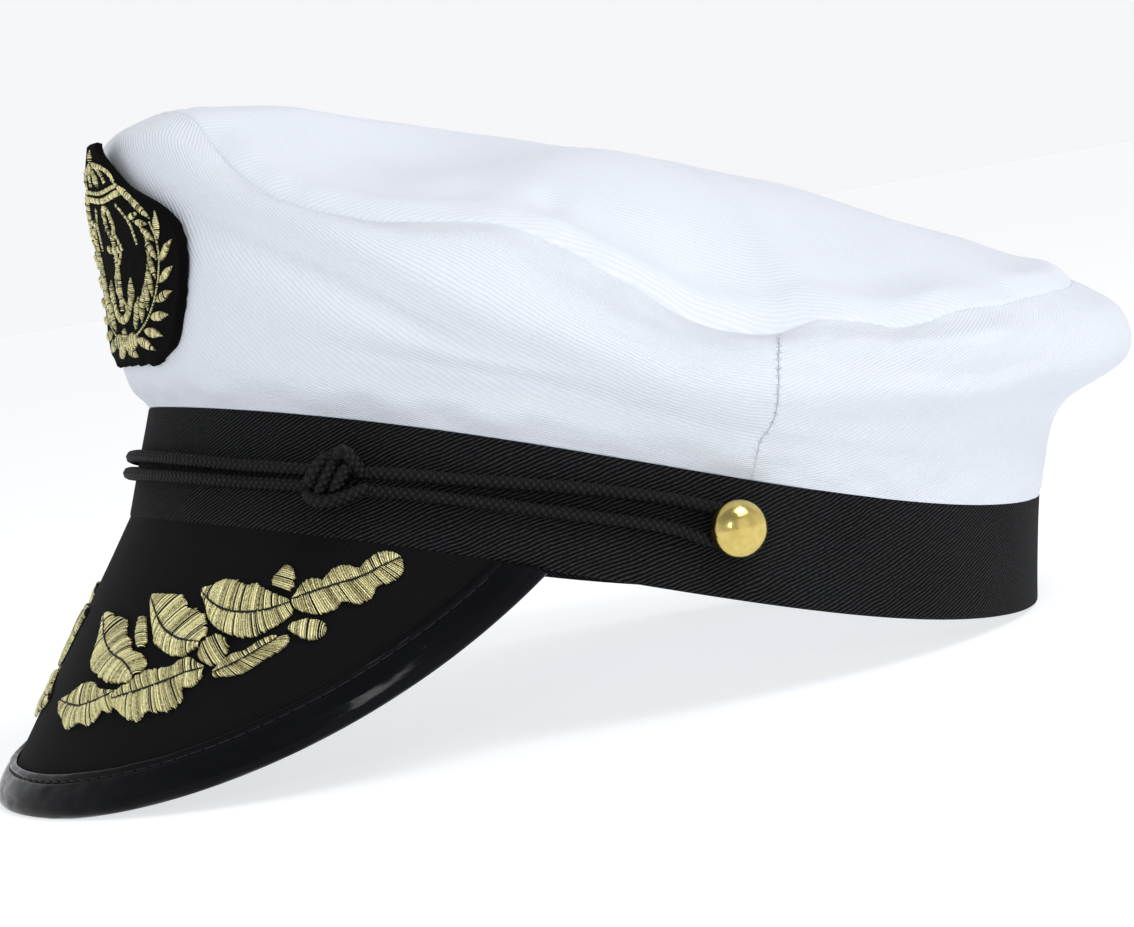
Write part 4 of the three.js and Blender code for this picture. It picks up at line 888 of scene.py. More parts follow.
band_turn = np.linspace(0, 360, 361)[:, None]
band_edge = np.array([0, 0.004, 0.012, 0.024, 0.04])
band_share = np.concatenate([band_edge, np.linspace(0.06, 0.94, 24), (1 - band_edge)[::-1]])[None, :]
band_up = BAND_HEIGHT * band_share
band_place = band_turn * SIDE_ARC
band_out = flare_at(band_share) - np.maximum(dip(band_up, 0.8), dip(BAND_HEIGHT - band_up, 0.35))
band_swell = np.clip(np.minimum(band_up, BAND_HEIGHT - band_up) / 5, 0, 1)
band_swell = band_swell * ripple(band_place, band_up, seed=8, length=60, height=0.12)
band_outer = ring_point(band_turn, band_out + band_swell, band_up + edge_wave(band_turn))
band_inner = ring_point(band_turn, flare_at(band_share) - BAND_WALL, band_up + edge_wave(band_turn))
band_weave = np.stack(np.broadcast_arrays(band_place, band_up), axis=-1)
band_skin = shell(band_outer, band_inner, band_weave, wrapped=True)
piece("band_cloth", band_skin, black_band, ["band"])

# Visor board with its cloth, which runs on into the band's lower edge and ends inside the binding
BOARD_TUCK = 1.3
board_share = np.linspace(-1, 1, 201)
edge_turn, edge_reach, _ = visor_line(BINDING_WALL + GAP, 1.5, board_share)
board_step = np.concatenate([[0], np.linspace(0, 1, 42)])[None, :]
board_turn = (board_share * edge_turn[-1])[:, None] * (1 - board_step) + edge_turn[:, None] * board_step
board_reach = edge_reach[:, None] * board_step
board_reach[:, 0] = -BOARD_TUCK
board_weave = visor_surface(board_turn, board_reach)[..., [0, 2]] * np.array([1.0, -1.2])
board_lift = ripple(board_weave[..., 0], board_weave[..., 1], seed=11, length=40, height=0.075)
board_outer = over_visor(board_turn, board_reach, board_lift - 0.05)
board_inner = over_visor(board_turn, board_reach, 0 * board_reach - VISOR_WALL)
piece("visor_cloth", shell(board_outer, board_inner, board_weave), black_visor, ["visor"])


# Stitches of the binding: distance from the visor's edge, step from one to the next and length
STITCH_INSET = 7.2
STITCH_PITCH = 3.3
STITCH_LENGTH = 2.7

# Row of the section near the visor's edge, along which the binding's length is measured
ROUND_ROW = 17


def binding_section():
    """Closed section of the binding: insets from the visor's edge and lifts off its upper face."""
    top, bottom = GAP + BINDING_WALL, -VISOR_WALL - GAP - BINDING_WALL
    middle, radius = (top + bottom) / 2, (top - bottom) / 2
    rows = [(BINDING_WIDTH, 0.2), (BINDING_WIDTH, 0.75)]
    rows += [(BINDING_WIDTH - 0.15, 1.0), (BINDING_WIDTH - 0.5, 1.15)]
    for inset in (8.1, 7.8, 7.6, 7.4, 7.2, 7.0, 6.8, 6.6, 6.2, 5.4, 4.6, 3.8, 3.0):
        groove = 0.4 * bell(inset, STITCH_INSET, 0.38)
        swell = 0.3 * math.sin(math.pi * (7.2 - inset) / 6) if inset < 7.2 else 0.0
        rows.append((inset, top - groove + swell))
    for k in range(13):
        angle = math.pi * k / 12
        rows.append((radius - radius * math.sin(angle), middle + radius * math.cos(angle)))
    rows += [(3.2, bottom), (5.2, bottom), (6.6, bottom)]
    rows += [(7.2, bottom + 0.3), (7.8, bottom), (8.6, bottom + 0.1)]
    rows += [(BINDING_WIDTH, bottom + 0.4), (BINDING_WIDTH, -VISOR_WALL - 0.2), (5, -VISOR_WALL - 0.2)]
    rows += [(BINDING_WALL, -VISOR_WALL - 0.2), (BINDING_WALL, 0.2), (5, 0.2)]
    return rows


section = binding_section()
binding_share = np.linspace(-1, 1, 321)
binding_rows = [visor_line(inset, GAP, binding_share) for inset, _ in section]
binding_turn = np.stack([row[0] for row in binding_rows], axis=-1)
binding_reach = np.stack([row[1] for row in binding_rows], axis=-1)
binding_lift = np.broadcast_to([lift for _, lift in section], binding_turn.shape)
binding_round = run_length(np.array(section))
binding_along = binding_share[:, None] * binding_rows[ROUND_ROW][2]
puff = np.clip((binding_lift + 0.2) / 1.2, 0, 1)
puff = puff * ripple(binding_along, binding_round[None, :] * 2.2, seed=14, length=26, height=0.16)
binding_points = over_visor(binding_turn, binding_reach, binding_lift + puff)
binding_weave = np.stack(np.broadcast_arrays(binding_along, binding_round[None, :]), axis=-1)
binding_weave = np.concatenate([binding_weave, binding_weave[:, :1]], axis=1)
binding_skin = loop_skin(binding_points, binding_weave)
piece("visor_binding_vinyl", binding_skin, gloss_binding, ["visor_binding"])


def binding_stitches():
    """Running stitch along the binding, over its upper and under its lower face."""
    parts = []
    whole = visor_line(STITCH_INSET, GAP, np.array([1.0]))[2]
    count = int(whole / STITCH_PITCH)
    for k in range(-count, count + 1):
        middle = k * STITCH_PITCH / whole
        if abs(middle) > 0.985:
            continue
        steps = np.linspace(-1, 1, 7)
        turn, reach, _ = visor_line(STITCH_INSET, GAP, middle + steps * STITCH_LENGTH / 2 / whole)
        for lift, side in ((GAP + BINDING_WALL - 0.33, 1), (-VISOR_WALL - GAP - BINDING_WALL + 0.28, -1)):
            rise = lift + side * 0.2 * (1 - steps**4) - side * 0.12
            points = over_visor(turn, reach, rise)
            parts.append(tube(points, 0.2, 8, outward=visor_normal(turn, reach)))
    return joined(parts)


piece("binding_stitches", binding_stitches(), black_thread)


# Satin stitch


def curve_through(points, count):
    """Even places along a smooth curve through points."""
    points = np.array(points, float)
    if len(points) == 2:
        return points[0] + np.linspace(0, 1, count)[:, None] * (points[1] - points[0])
    ends = np.concatenate([[2 * points[0] - points[1]], points, [2 * points[-1] - points[-2]]])
    steps = np.linspace(0, len(points) - 1, 24 * len(points))
    index = np.minimum(steps.astype(int), len(points) - 2)
    t = (steps - index)[:, None]
    before, start, end, after = (ends[index + k] for k in range(4))
    fine = 0.5 * (2 * start + (end - before) * t + (2 * before - 5 * start + 4 * end - after) * t**2
                  + (3 * start - before - 3 * end + after) * t**3)
    length = run_length(fine)
    target = np.linspace(0, length[-1], count)
    return np.stack([np.interp(target, length, fine[:, k]) for k in range(2)], axis=-1)


def satin(first, second, place, seed, spacing=0.5, pad=0.5, thread=0.28, scale=(1.0, 1.0), ragged=0.028):
    """Satin stitches between two curves. place(points, lifts) lays them on a surface; scale gives
    the millimetres of both coordinates."""
    draw = np.random.default_rng(seed)
    longest = max(run_length(curve_through(edge, 30) * scale)[-1] for edge in (first, second))
    count = max(4, int(longest / spacing))
    columns = 4 * count + 1
    start, end = curve_through(first, columns), curve_through(second, columns)
    stitch = np.minimum(np.arange(columns) // 4, count - 1)
    jitter = draw.normal(0, ragged, (count, 2))[stitch]
    level = draw.normal(0, 0.07, count)[stitch]
    profile = np.array([0.0, 0.85, 1.0, 0.85])[np.arange(columns) % 4]
    parted = draw.random(count + 1) < 0.1
    gap = parted[np.minimum((np.arange(columns) + 1) // 4, count)] & (np.arange(columns) % 4 == 0)
    t = np.array([0, 0.03, 0.1, 0.3, 0.55, 0.8, 0.92, 0.98, 1])[None, :]
    reach = t + jitter[:, :1] * (t - 1) * 0.6 + jitter[:, 1:] * t
    points = start[:, None] + (end - start)[:, None] * reach[..., None]
    arch = np.sqrt(np.clip(1 - (2 * t - 1) ** 2, 0, 1))
    lifts = 0.12 + pad * arch + (thread * profile[:, None] + level[:, None]) * np.clip(arch * 3, 0, 1)
    lifts = np.where(gap[:, None] & (t > 0) & (t < 1), lifts * 0.3, lifts)
    width = np.linalg.norm((end - start) * scale, axis=1)
    lifts = np.maximum(lifts * np.clip(width / 1.2, 0.5, 1)[:, None], 0.12)
    outer = place(points, lifts)
    inner = place(points, 0 * lifts + 0.03)
    along = np.broadcast_to(t, lifts.shape) * width[:, None]
    row = (np.arange(columns) / 4 + seed * 61.0)[:, None]
    return shell(outer, inner, np.stack(np.broadcast_arrays(row, along), axis=-1))


def thread_line(points, place, radius, lift, count=40):
    """Thread laid along a curve on a surface."""
    path = curve_through(points, count)
    here, above = place(path, np.full(count, lift)), place(path, np.full(count, lift + 1.0))
    return tube(here, radius, 8, outward=unit(above - here))


# Leaves of the visor: a midrib and the edges on both its sides, as turns in degrees and reaches in
# millimetres. A bud or acorn has two edges and no midrib. The other side's leaves are mirrored.
LEAVES = {
    "long_leaf": {
        "rib": [(38.3, 13.2), (40.5, 11.2), (43, 9.2), (46, 6.9), (48.3, 4.2), (50.4, 1.8)],
        "edges": [
            [(38.6, 12.2), (39.1, 9.4), (40.4, 8.2), (41.6, 8.2), (42.4, 6.0), (44, 4.6), (45.6, 4.9),
             (46.5, 3.0), (47.8, 1.2), (49.3, 0.8), (50.5, 1.5)],
            [(38.9, 14.7), (40.2, 15.4), (42.3, 15.3), (43.9, 14.0), (44.6, 12.2), (46.6, 12.2),
             (48, 10.3), (48.3, 8.0), (49.9, 6.9), (51, 4.4), (50.7, 2.1)],
        ],
    },
    "broad_leaf": {
        "rib": [(24.8, 13.6), (26.6, 15.4), (29, 16.8), (31.7, 17.1), (35, 16.1), (38.2, 13.8)],
        "edges": [
            [(24.9, 13.0), (26.6, 12.0), (28, 10.6), (29.4, 10.5), (31.4, 11.3), (33.2, 11.0),
             (35, 12.0), (37.9, 13.1)],
            [(25.0, 14.4), (26.3, 16.4), (27.4, 19.0), (29, 20.8), (31.2, 21.8), (34, 22.1), (36, 20.3),
             (38.5, 16.8), (38.8, 15.1)],
        ],
    },
    "upper_bud": {
        "edges": [
            [(35.2, 10.8), (34.9, 9.6), (35.5, 8.0), (36.0, 6.6), (36.7, 6.3)],
            [(37.8, 11.6), (38.0, 10.4), (37.8, 8.4), (37.4, 7.0), (36.8, 6.3)],
        ],
    },
    "outer_acorn": {
        "edges": [
            [(38.8, 18.6), (39.6, 17.4), (41.2, 16.4), (42.9, 16.8), (43.5, 18.2)],
            [(38.8, 19.2), (39.8, 20.1), (41.5, 20.7), (42.9, 20.2), (43.5, 18.7)],
        ],
    },
    "narrow_leaf": {
        "rib": [(30.7, 30.2), (32.4, 28.4), (34.3, 26.2), (36.2, 23.6), (37.8, 21.4)],
        "edges": [
            [(30.6, 29.5), (31.6, 27.2), (32.6, 25.6), (34, 24.7), (35.3, 22.7), (36.6, 21.2),
             (37.6, 20.6)],
            [(31, 30.9), (33, 30.3), (34.6, 29.3), (35.8, 27.8), (36.9, 25.8), (38.4, 23.9),
             (39.3, 21.6), (38.9, 20.4)],
        ],
    },
    "inner_acorn": {
        "edges": [
            [(27.8, 26.4), (27.7, 24.6), (28.4, 22.9), (29.8, 22.1), (31.2, 23.0)],
            [(28.4, 27.9), (29.8, 28.7), (31.2, 28.1), (31.8, 26.2), (31.7, 24.0)],
        ],
    },
    "middle_leaf": {
        "rib": [(15.8, 16.2), (17.8, 19.0), (20.2, 22.0), (22.8, 23.8), (25, 24.3), (27.4, 24.2)],
        "edges": [
            [(15.7, 15.6), (17.6, 15.4), (19.5, 15.1), (21.4, 15.1), (22.6, 16.2), (23.4, 17.6),
             (25, 17.6), (26.4, 18.6), (27.6, 20.8), (27.9, 23.0)],
            [(16.6, 18.4), (17.6, 20.8), (19, 23.6), (20, 25.8), (21.8, 27.0), (24, 27.9), (25.8, 27.5),
             (26.4, 26.4), (27.4, 25.2)],
        ],
    },
    "lower_bud": {
        "edges": [
            [(15.2, 21.2), (15.2, 22.8), (15.8, 25.0), (16.7, 26.8), (17.5, 27.3)],
            [(16.2, 20.6), (16.8, 21.8), (17.6, 23.8), (18.3, 25.6), (18.3, 26.9)],
        ],
    },
    "third_leaf": {
        "rib": [(5.4, 21.6), (7.2, 24.6), (9.6, 27.4), (12.4, 29.4), (15.6, 30.6), (18.4, 33.0)],
        "edges": [
            [(5.8, 20.9), (7.6, 21.0), (9, 21.8), (10.6, 21.4), (12.6, 22.4), (13.3, 24.8), (15, 25.9),
             (16.2, 27.9), (18.2, 28.3), (19.8, 30.2), (19.5, 32.2)],
            [(5.5, 23.0), (6.6, 25.6), (7.0, 28.4), (7.5, 31.6), (8.8, 33.6), (11, 34.3), (13, 35.3),
             (15.2, 35.2), (17.6, 34.8), (18.4, 33.8)],
        ],
    },
    "lower_leaf": {
        "rib": [(15.8, 38.9), (18.4, 37.2), (21.4, 35.3), (24.4, 33.0), (27, 30.8), (29.4, 29.3)],
        "edges": [
            [(15.8, 38.2), (16.8, 35.8), (18.4, 34.6), (19, 33.0), (20.8, 31.4), (22.4, 30.9),
             (24.4, 29.8), (25.4, 28.4), (26.6, 27.6), (28, 28.4), (29, 28.8)],
            [(16, 39.6), (18, 40.9), (20.4, 42.0), (22.2, 41.9), (23, 39.8), (24.8, 39.7), (26.6, 38.6),
             (27.6, 36.4), (27.1, 34.2), (28.6, 33.2), (29.4, 31.0)],
        ],
    },
    "tip_leaf": {
        "rib": [(3.6, 41.2), (6.6, 41.5), (9.8, 41.3), (12.6, 39.8), (16, 37.2)],
        "edges": [
            [(4.2, 40.7), (5.8, 39.4), (7, 37.6), (8.8, 36.3), (10.6, 36.0), (12.4, 36.9), (14.2, 36.9),
             (15.7, 36.8)],
            [(3.6, 42.2), (4.6, 44.0), (6.4, 44.9), (7.8, 46.3), (9.2, 46.7), (10.8, 44.9), (13, 45.0),
             (14.5, 43.2), (14.9, 41.4), (16.8, 41.4), (16.2, 38.6)],
        ],
    },
}


def on_visor(side):
    """Places turns and reaches of the visor's one side on its cloth."""
    def place(points, lifts):
        return over_visor(side * points[..., 0], points[..., 1], lifts + 0.2)
    return place


# Millimetres of a degree of turn and of a unit of reach on the visor
VISOR_SCALE = np.array([1.68, 1.0])

for side, suffix in ((1, "left"), (-1, "right")):
    lay = on_visor(side)
    ribs = []
    for number, (leaf, curves) in enumerate(LEAVES.items()):
        seed = 10 + 2 * number + (100 if side < 0 else 0)
        if "rib" in curves:
            rib = curves["rib"]
            parts = [satin(rib, edge, lay, seed + k, scale=VISOR_SCALE)
                     for k, edge in enumerate(curves["edges"])]
            ribs.append(thread_line(rib, lay, 0.3, 0.42))
        else:
            parts = [satin(*curves["edges"], lay, seed, scale=VISOR_SCALE, pad=0.65)]
        piece(f"{leaf}_thread_{suffix}", joined(parts), gold, [f"visor_{leaf}_{suffix}"])
    piece(f"leaf_ribs_{suffix}", joined(ribs), black_thread)


# Badge

# Outline of the patch from its lower edge up: shares of its height and half width
PATCH_ROWS = np.array([
    (0, 0.5), (0.08, 0.71), (0.17, 0.82), (0.35, 0.95), (0.52, 0.985), (0.65, 0.89), (0.73, 0.72),
    (0.81, 0.44), (0.9, 0.26), (1, 0.1),
])

# The sewn patch is a little lower than its place on the crown and sits higher: share and millimetres
PATCH_SHRINK, PATCH_RAISE = 0.945, 1.5


def front_table():
    """Places and normals of the crown's front under the badge, for a grid of levels and heights."""
    levels = np.linspace(-PATCH_HALF_WIDTH - 3, PATCH_HALF_WIDTH + 3, 81)
    heights = np.linspace(-3, PATCH_HEIGHT + 3, 81)
    reach = (BAND_HALF_WIDTH + CROWN_OVERHANG * 0.8) * RADIANS
    turn = (levels + PATCH_SIDEWAYS)[:, None] / reach + 0 * heights
    low_v, high_v = np.zeros(turn.shape), np.ones(turn.shape)
    for _ in range(22):
        middle = (low_v + high_v) / 2
        under = side_surface(turn, middle)[..., 2] < PATCH_UP + heights
        low_v, high_v = np.where(under, middle, low_v), np.where(under, high_v, middle)
    return levels, heights, side_surface(turn, low_v), normal_of(plain_side, turn, low_v, 2.0, 0.04)


FRONT_LEVELS, FRONT_HEIGHTS, FRONT_PLACES, FRONT_NORMALS = front_table()


def in_table(values, value):
    """Place of a value among evenly spaced ones, as a row number with its share."""
    return np.clip((value - values[0]) / (values[1] - values[0]), 0, len(values) - 1.001)


def on_front(points, lifts):
    """Places levels and heights of the badge on the crown's front, lifted off its cloth."""
    height = points[..., 1] * PATCH_SHRINK + PATCH_RAISE
    x, y = in_table(FRONT_LEVELS, points[..., 0]), in_table(FRONT_HEIGHTS, height)
    i, j = x.astype(int), y.astype(int)
    s, t = (x - i)[..., None], (y - j)[..., None]

    def mixed(table):
        return ((table[i, j] * (1 - s) + table[i + 1, j] * s) * (1 - t)
                + (table[i, j + 1] * (1 - s) + table[i + 1, j + 1] * s) * t)

    lean = PATCH_LEAN * np.clip(points[..., 1] / PATCH_HEIGHT, 0, None) ** 3
    return mixed(FRONT_PLACES) + unit(mixed(FRONT_NORMALS)) * (lifts + lean)[..., None]


def on_patch(points, lifts):
    """Places on the patch, lifted off its face."""
    return on_front(points, lifts + PATCH_LIFT + PATCH_WALL)


def patch_half(share):
    """Half width of the patch at a share of its height."""
    return PATCH_HALF_WIDTH * along_rows(PATCH_ROWS[:, 0], PATCH_ROWS[:, 1], share)


def patch_skin():
    """Felt patch with a soft, slightly uneven cut edge."""
    columns, rows = 91, 101
    side, share = np.linspace(-1, 1, columns)[:, None], np.linspace(0, 1, rows)[None, :]
    half = patch_half(share)
    uneven = 1 + 0.005 * np.sin(share * 60 + 2 * np.sin(share * 21)) * np.abs(side) ** 6
    level, height = side * half * uneven, PATCH_HEIGHT * share + 0 * side
    height = height + 0.35 * np.sin(level * 0.9) * bell(share, 0, 0.03)
    from_ends = PATCH_HEIGHT * np.minimum(share, 1 - share)
    from_edge = np.minimum(half * (1 - np.abs(side)), from_ends)
    points = np.stack([level, height], axis=-1)
    uneven_face = ripple(level, height, seed=21, length=5, height=0.05)
    lifts = PATCH_LIFT + PATCH_WALL - dip(from_edge, 0.6) + uneven_face
    outer = on_front(points, lifts)
    inner = on_front(points, 0 * lifts + 0.15)
    return shell(outer, inner, points)


piece("badge_patch_felt", patch_skin(), black_felt, ["badge_patch"], crease=70)


def ribbon(points, width, seed):
    """Satin stitches across a curve of one width."""
    path = curve_through(points, 60)
    along = unit(np.gradient(path, axis=0))
    aside = np.stack([-along[:, 1], along[:, 0]], axis=-1) * width / 2
    return satin(path - aside, path + aside, on_patch, seed, pad=0.3, thread=0.2, spacing=0.44, ragged=0.04)


def petal(base, tip, half, seed):
    """Small pointed leaf with stitches slanted across it."""
    base, tip = np.array(base, float), np.array(tip, float)
    way = tip - base
    aside = np.array([-way[1], way[0]]) / np.linalg.norm(way) * half
    left = [base, base + way * 0.3 + aside * 0.9, base + way * 0.62 + aside, tip]
    right = [base, base + way * 0.2 - aside * 0.75, base + way * 0.5 - aside, tip]
    return satin(left, right, on_patch, seed, pad=0.42, thread=0.2, spacing=0.44, ragged=0.03)


def arc(middle, radius, start, end, count=16, squash=1.0):
    """Points of an arc between two angles in degrees."""
    angle = np.radians(np.linspace(start, end, count))
    return [(middle[0] + radius * math.cos(a), middle[1] + squash * radius * math.sin(a)) for a in angle]


def anchor_threads():
    """Anchor with a ring, a stock, a shank and two flukes, and a rope twined about the shank."""
    return joined([
        ribbon(arc((0, 30.9), 2.5, -80, 262, 20, 1.3), 1.2, 201),
        ribbon([(0, 27.4), (0, 20), (0.1, 11.5)], 1.7, 202),
        ribbon([(-5.8, 25.6), (-3, 25.0), (3, 25.0), (5.8, 25.6)], 1.5, 203),
        ribbon([(-6.6, 15.8), (-5.2, 12.2), (-2.6, 10.2), (0, 9.6), (2.6, 10.2), (5.2, 12.2), (6.6, 15.8)],
               1.7, 204),
        petal((-6.8, 13.0), (-7.4, 18.6), 1.3, 205),
        petal((6.8, 13.0), (7.4, 18.6), 1.3, 206),
        ribbon([(1.6, 28.6), (3.5, 26.6), (3.2, 23.6), (1.3, 21.9)], 0.8, 207),
        ribbon([(-1.2, 20.6), (-2.9, 18.4), (-2.6, 16.2), (-1.1, 14.7)], 0.8, 208),
        ribbon([(1.2, 14.0), (2.7, 12.9), (3.2, 11.6)], 0.8, 209),
    ])


def crown_threads():
    """Small crown: a double base bar, four arches and two points."""
    parts = [ribbon([(-11.4, 36.9), (0, 35.7), (11.4, 36.9)], 1.2, 211)]
    parts.append(ribbon([(-10.4, 38.3), (0, 37.3), (10.4, 38.3)], 0.8, 210))
    for number, foot in enumerate((-9.8, -5.0, 5.0, 9.8)):
        route = [(foot, 39.0), (foot * 0.88, 40.6), (foot * 0.56, 42.0), (foot * 0.1, 42.9)]
        parts.append(ribbon(route, 0.9, 212 + number))
    parts.append(petal((0, 38.4), (0, 42.4), 1.1, 217))
    parts.append(petal((0, 42.9), (0, 45.4), 0.8, 218))
    return joined(parts)


def wreath_threads(side):
    """Laurel branch: a stem with slender leaves on both its sides, and a short border line inside."""
    parts = []
    route = [(6.0, 5.8), (12.4, 8.4), (18.0, 13.2), (21.6, 19.6), (22.4, 26.0), (19.8, 31.2), (14.6, 34.6)]
    stem = curve_through(route, 100)
    along = unit(np.gradient(stem, axis=0))
    for number in range(9):
        place = 4 + 11 * number
        size = 1.08 - 0.04 * number
        foot, way = stem[place], along[place]
        out = np.array([way[1], -way[0]])
        for row, (offset, spread, half) in enumerate(((0.8, 5.6, 0.95), (-0.9, -6.2, 0.85))):
            tip = foot + (way * (6.6 - 1.4 * row) + out * spread) * size
            tip[0] = min(tip[0], patch_half(tip[1] / PATCH_HEIGHT) - 2)
            base = (foot + out * offset) * (side, 1)
            parts.append(petal(base, tip * (side, 1), half * size * side, 230 + 4 * number + row))
    parts.append(ribbon(stem[:90:9] * (side, 1), 0.45, 270))
    border = np.array([(7.4, 34.6), (12.0, 30.6), (13.6, 25.6)])
    parts.append(ribbon(border * (side, 1), 0.7, 272))
    return joined(parts)


def bow_threads():
    """Bow that ties both branches."""
    return joined([
        petal((-1, 4.6), (-9.4, 5.4), 1.7, 281),
        petal((1, 4.6), (9.4, 5.4), 1.7, 282),
        petal((-1, 4.2), (-6.6, 1.6), 1.2, 283),
        petal((1, 4.2), (6.6, 1.6), 1.2, 284),
        petal((0, 3.0), (0, 8.0), 1.8, 285),
    ])


piece("badge_anchor_thread", anchor_threads(), gold, ["badge_anchor"])
piece("badge_crown_thread", crown_threads(), gold, ["badge_crown"])
piece("badge_bow_thread", bow_threads(), gold, ["badge_bow"])
for side, suffix in ((1, "left"), (-1, "right")):
    piece(f"badge_wreath_thread_{suffix}", wreath_threads(side), gold,
          [f"badge_wreath_{suffix}"])


# Cord, knots and buttons

LOOP_RADIUS = STEM_RADIUS + GAP + CORD_RADIUS
KNOT_LIFT = KNOT_BACK_WALL + KNOT_CLEARANCE

# Route of both strands from the front to the button: turn, heights above the band's lower edge as
# shares of BAND_HEIGHT for the upper and the lower strand, and the share of KNOT_LIFT
CORD_ROUTE = np.array([
    (0, 0.552, 0.397, 0), (14, 0.54, 0.393, 0), (28, 0.531, 0.393, 0.15), (35, 0.54, 0.406, 0.7),
    (42.3, 0.556, 0.423, 1), (50, 0.594, 0.444, 0.65), (58, 0.628, 0.456, 0.07), (70, 0.699, 0.481, 0),
    (80, 0.736, 0.498, 0),
])
KNOT_TURN = 42.3
KNOT_CORD_RADIUS = 1.5


def cord_point(turn, up, lift):
    """Centre of a strand at a height above the band's wavy lower edge."""
    out = flare_at(up / BAND_HEIGHT) + GAP + CORD_RADIUS + lift
    return ring_point(turn, out, up + edge_wave(turn))


def turn_by(turn, distance):
    """Turn on the band a distance along it from another turn near the buttons."""
    return turn + distance / (BAND_HALF_LENGTH * RADIANS)


def braid(along, angle):
    """Relief of a braided cord: two families of yarns that cross, with holes between them."""
    around = angle * BRAID_YARNS / (2 * np.pi)
    first = np.abs(np.sin(np.pi * (along / BRAID_PITCH + around)))
    second = np.abs(np.sin(np.pi * (along / BRAID_PITCH - around)))
    return 0.34 * ((first * second) ** 0.6 - 1)


def strand(sign):
    """Strand around the front between the two buttons."""
    column = 1 if sign > 0 else 2
    rows = [(t, row * BAND_HEIGHT, lift) for t, row, lift in CORD_ROUTE[:, [0, column, 3]]]
    end_up = BUTTON_UP + sign * LOOP_RADIUS
    rows += [(turn_by(BUTTON_TURN, -LOOP_RADIUS), end_up, 0), (BUTTON_TURN, end_up, 0)]
    rows = np.array(rows)
    turn = np.linspace(-BUTTON_TURN, BUTTON_TURN, 1320)
    up = along_rows(rows[:, 0], rows[:, 1], np.abs(turn))
    lift = along_rows(rows[:, 0], rows[:, 2], np.abs(turn))
    points = cord_point(turn, up, lift * KNOT_LIFT)
    return tube(points, CORD_RADIUS, 20, relief=braid, outward=ring_outward(turn))


piece("cord_upper_braid", strand(1), black_cord, ["cord_upper"])
piece("cord_lower_braid", strand(-1), black_cord, ["cord_lower"])


def loop_braid(side):
    """End of the cord behind a button: half a turn around the button's stem."""
    gap_angle = math.asin(GAP / LOOP_RADIUS)
    angle = np.linspace(gap_angle, math.pi - gap_angle, 60)
    turn = turn_by(BUTTON_TURN, LOOP_RADIUS * np.sin(angle))
    points = cord_point(side * turn, BUTTON_UP + LOOP_RADIUS * np.cos(angle), 0)
    return tube(points, CORD_RADIUS, 24, relief=braid, outward=ring_outward(side * turn))


def knot_braid(side):
    """Sliding knot: the cord wound around both strands, with one strand crossing over the front."""
    heights = [np.interp(KNOT_TURN, CORD_ROUTE[:, 0], CORD_ROUTE[:, k]) * BAND_HEIGHT for k in (1, 2)]
    middle = sum(cord_point(KNOT_TURN, up, KNOT_LIFT) for up in heights) / 2
    outward = ring_outward(KNOT_TURN)
    along = np.cross([0, 0, 1], outward)

    def placed(path):
        level = np.maximum(path[:, 1], -1.0)
        return middle + path[:, :1] * along + level[:, None] * outward + path[:, 2:] * np.array([0, 0, 1])

    # Columns: along the strands, outward and up, in millimetres from the knot's middle
    angle, t = np.linspace(-0.3, 2 * np.pi * 2.15, 300), np.linspace(0, 1, 120)
    arch = np.sin(np.pi * t)
    wound = (3.0 * angle / (2 * np.pi) - 4.4 + 1.1 * np.sin(angle), 3.0 * np.cos(angle), 4.1 * np.sin(angle))
    crossing = (-6.2 + 12.6 * t, 4.2 * arch**0.7 - 0.2, -3.4 + 2.4 * t - 2.2 * arch)
    bight = (5.2 - 5.6 * t, 3.7 * arch**0.8 - 0.1, 1.6 + 3.9 * np.sin(np.pi * t * 0.9))
    skins = []
    for path in (wound, crossing, bight):
        points = placed(np.stack(path, axis=-1))
        places, quads, corners = tube(points, KNOT_CORD_RADIUS, 24, relief=braid, outward=outward + 0.001)
        level = (places - middle) @ outward
        places = places + outward * np.maximum(0, -KNOT_LIFT - CORD_RADIUS + 0.15 - level)[:, None]
        places[:, 0] *= side
        skins.append((places, quads, corners))
    return joined(skins)


def button_skin(side):
    """Domed button with a thin rolled rim, turned about its stem."""
    underside = 2 * GAP + 2 * CORD_RADIUS
    face = underside + BUTTON_RIM
    rows = [(0, STEM_RADIUS), (underside - 0.02, STEM_RADIUS), (underside, BUTTON_RADIUS * 0.9)]
    for a in np.linspace(0.2, math.pi - 0.3, 9):
        edge = BUTTON_RADIUS * (0.9 + 0.07 * math.sin(a))
        rows.append((underside + BUTTON_RIM * (0.5 - 0.5 * math.cos(a)), edge))
    rows.append((face + 0.01, BUTTON_RADIUS * 0.95))
    for a in np.linspace(0.03, math.pi / 2, 22):
        rows.append((face + BUTTON_DOME * math.sin(a), BUTTON_RADIUS * 0.985 * math.cos(a) + 0.02))
    rows = np.array(rows)
    outward = ring_outward(side * BUTTON_TURN)
    seat = cord_point(side * BUTTON_TURN, BUTTON_UP, -CORD_RADIUS)
    points = seat + rows[:, :1] * outward
    return tube(points, rows[:, 1], 72)


for side, suffix in ((1, "left"), (-1, "right")):
    piece(f"cord_loop_braid_{suffix}", loop_braid(side), black_cord, [f"cord_loop_{suffix}"])
    piece(f"cord_knot_braid_{suffix}", knot_braid(side), black_cord, [f"cord_knot_{suffix}"])
    piece(f"button_dome_{suffix}", button_skin(side), brass, [f"button_{suffix}"], crease=35)


# Floor, light and finish


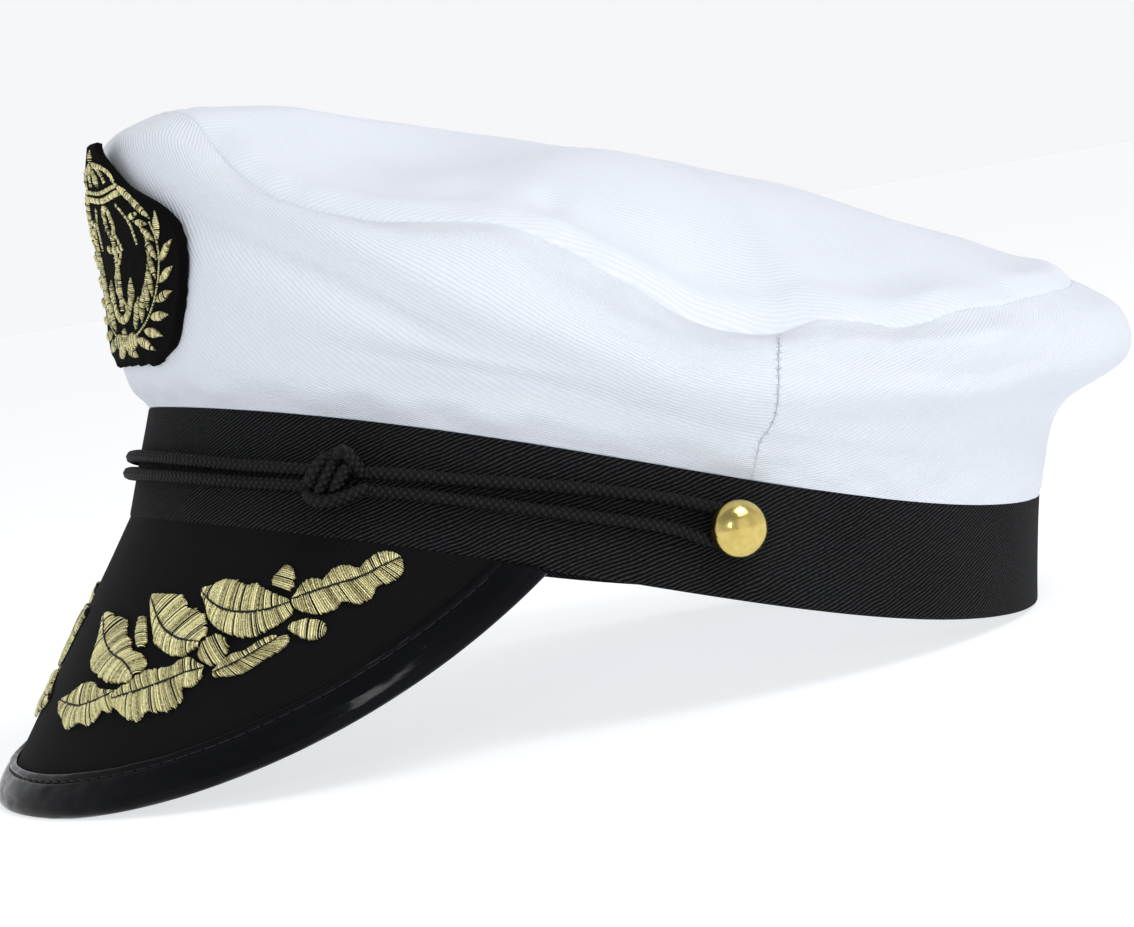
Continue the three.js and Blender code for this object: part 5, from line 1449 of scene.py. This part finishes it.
def area_light(name, place, target, size, power, colour=(1.0, 1.0, 1.0)):
    """Soft square light that faces a place."""
    lamp = bpy.data.lights.new(name, "AREA")
    lamp.size = size
    lamp.energy = power
    lamp.color = colour
    made = bpy.data.objects.new(name, lamp)
    made.location = place
    made.rotation_euler = (Vector(target) - Vector(place)).to_track_quat("-Z", "Y").to_euler()
    bpy.context.scene.collection.objects.link(made)


FLOOR_REACH = 30.0
floor_mesh = bpy.data.meshes.new("floor")
corners = [(x * FLOOR_REACH, y * FLOOR_REACH, 0) for x, y in ((-1, -1), (1, -1), (1, 1), (-1, 1))]
floor_mesh.from_pydata(corners, [], [(0, 1, 2, 3)])
paper = Look("floor_paper", 0.9, Specular_IOR_Level=0.1)
tone = paper.blend(paper.noise(paper.place(), 40.0, 3.0), (0.44, 0.44, 0.44), (0.46, 0.46, 0.46))
paper.set(Base_Color=tone, Emission_Color=(0.97, 0.98, 1.0, 1), Emission_Strength=0.7)
floor_mesh.materials.append(paper.material)
floor = bpy.data.objects.new("floor", floor_mesh)
bpy.context.scene.collection.objects.link(floor)


def eased(value, start, end, before, after):
    """Smooth step between two strengths of light while a value of the sky runs from start to end."""
    inputs = {0: value, 1: start, 2: end, 3: before, 4: after}
    return node(sky, "ShaderNodeMapRange", inputs, interpolation_type="SMOOTHSTEP")


# White room, darker overhead and on the side that the hat's left front faces
world = bpy.data.worlds.new("studio")
world.use_nodes = True
sky = world.node_tree
light = sky.nodes["Background"]
light.inputs["Color"].default_value = (0.965, 0.975, 1.0, 1)
direction = node(sky, "ShaderNodeTexCoord", output="Generated")
height = node(sky, "ShaderNodeSeparateXYZ", {0: direction}, 2)
LEFT_FRONT = (0.9, -0.44, 0)
facing = node(sky, "ShaderNodeVectorMath", {0: direction, 1: LEFT_FRONT}, "Value", operation="DOT_PRODUCT")
strength = eased(height, 0.25, 0.75, 0.95, 0.45) * eased(facing, 0.05, 0.9, 1.0, 0.66)
connect(strength, light.inputs["Strength"])
bpy.context.scene.world = world
bpy.context.scene.view_settings.view_transform = "Standard"

area_light("key", (1.05, 0.5, 1.5), (0, 0, 0.08), size=0.9, power=14.8, colour=(1.0, 0.99, 0.98))
area_light("side", (1.6, 0.3, 0.4), (0, 0, 0.06), size=0.9, power=0.8)
area_light("glint", (1.3, -0.75, 0.5), (0, 0, 0.05), size=0.06, power=2.3)
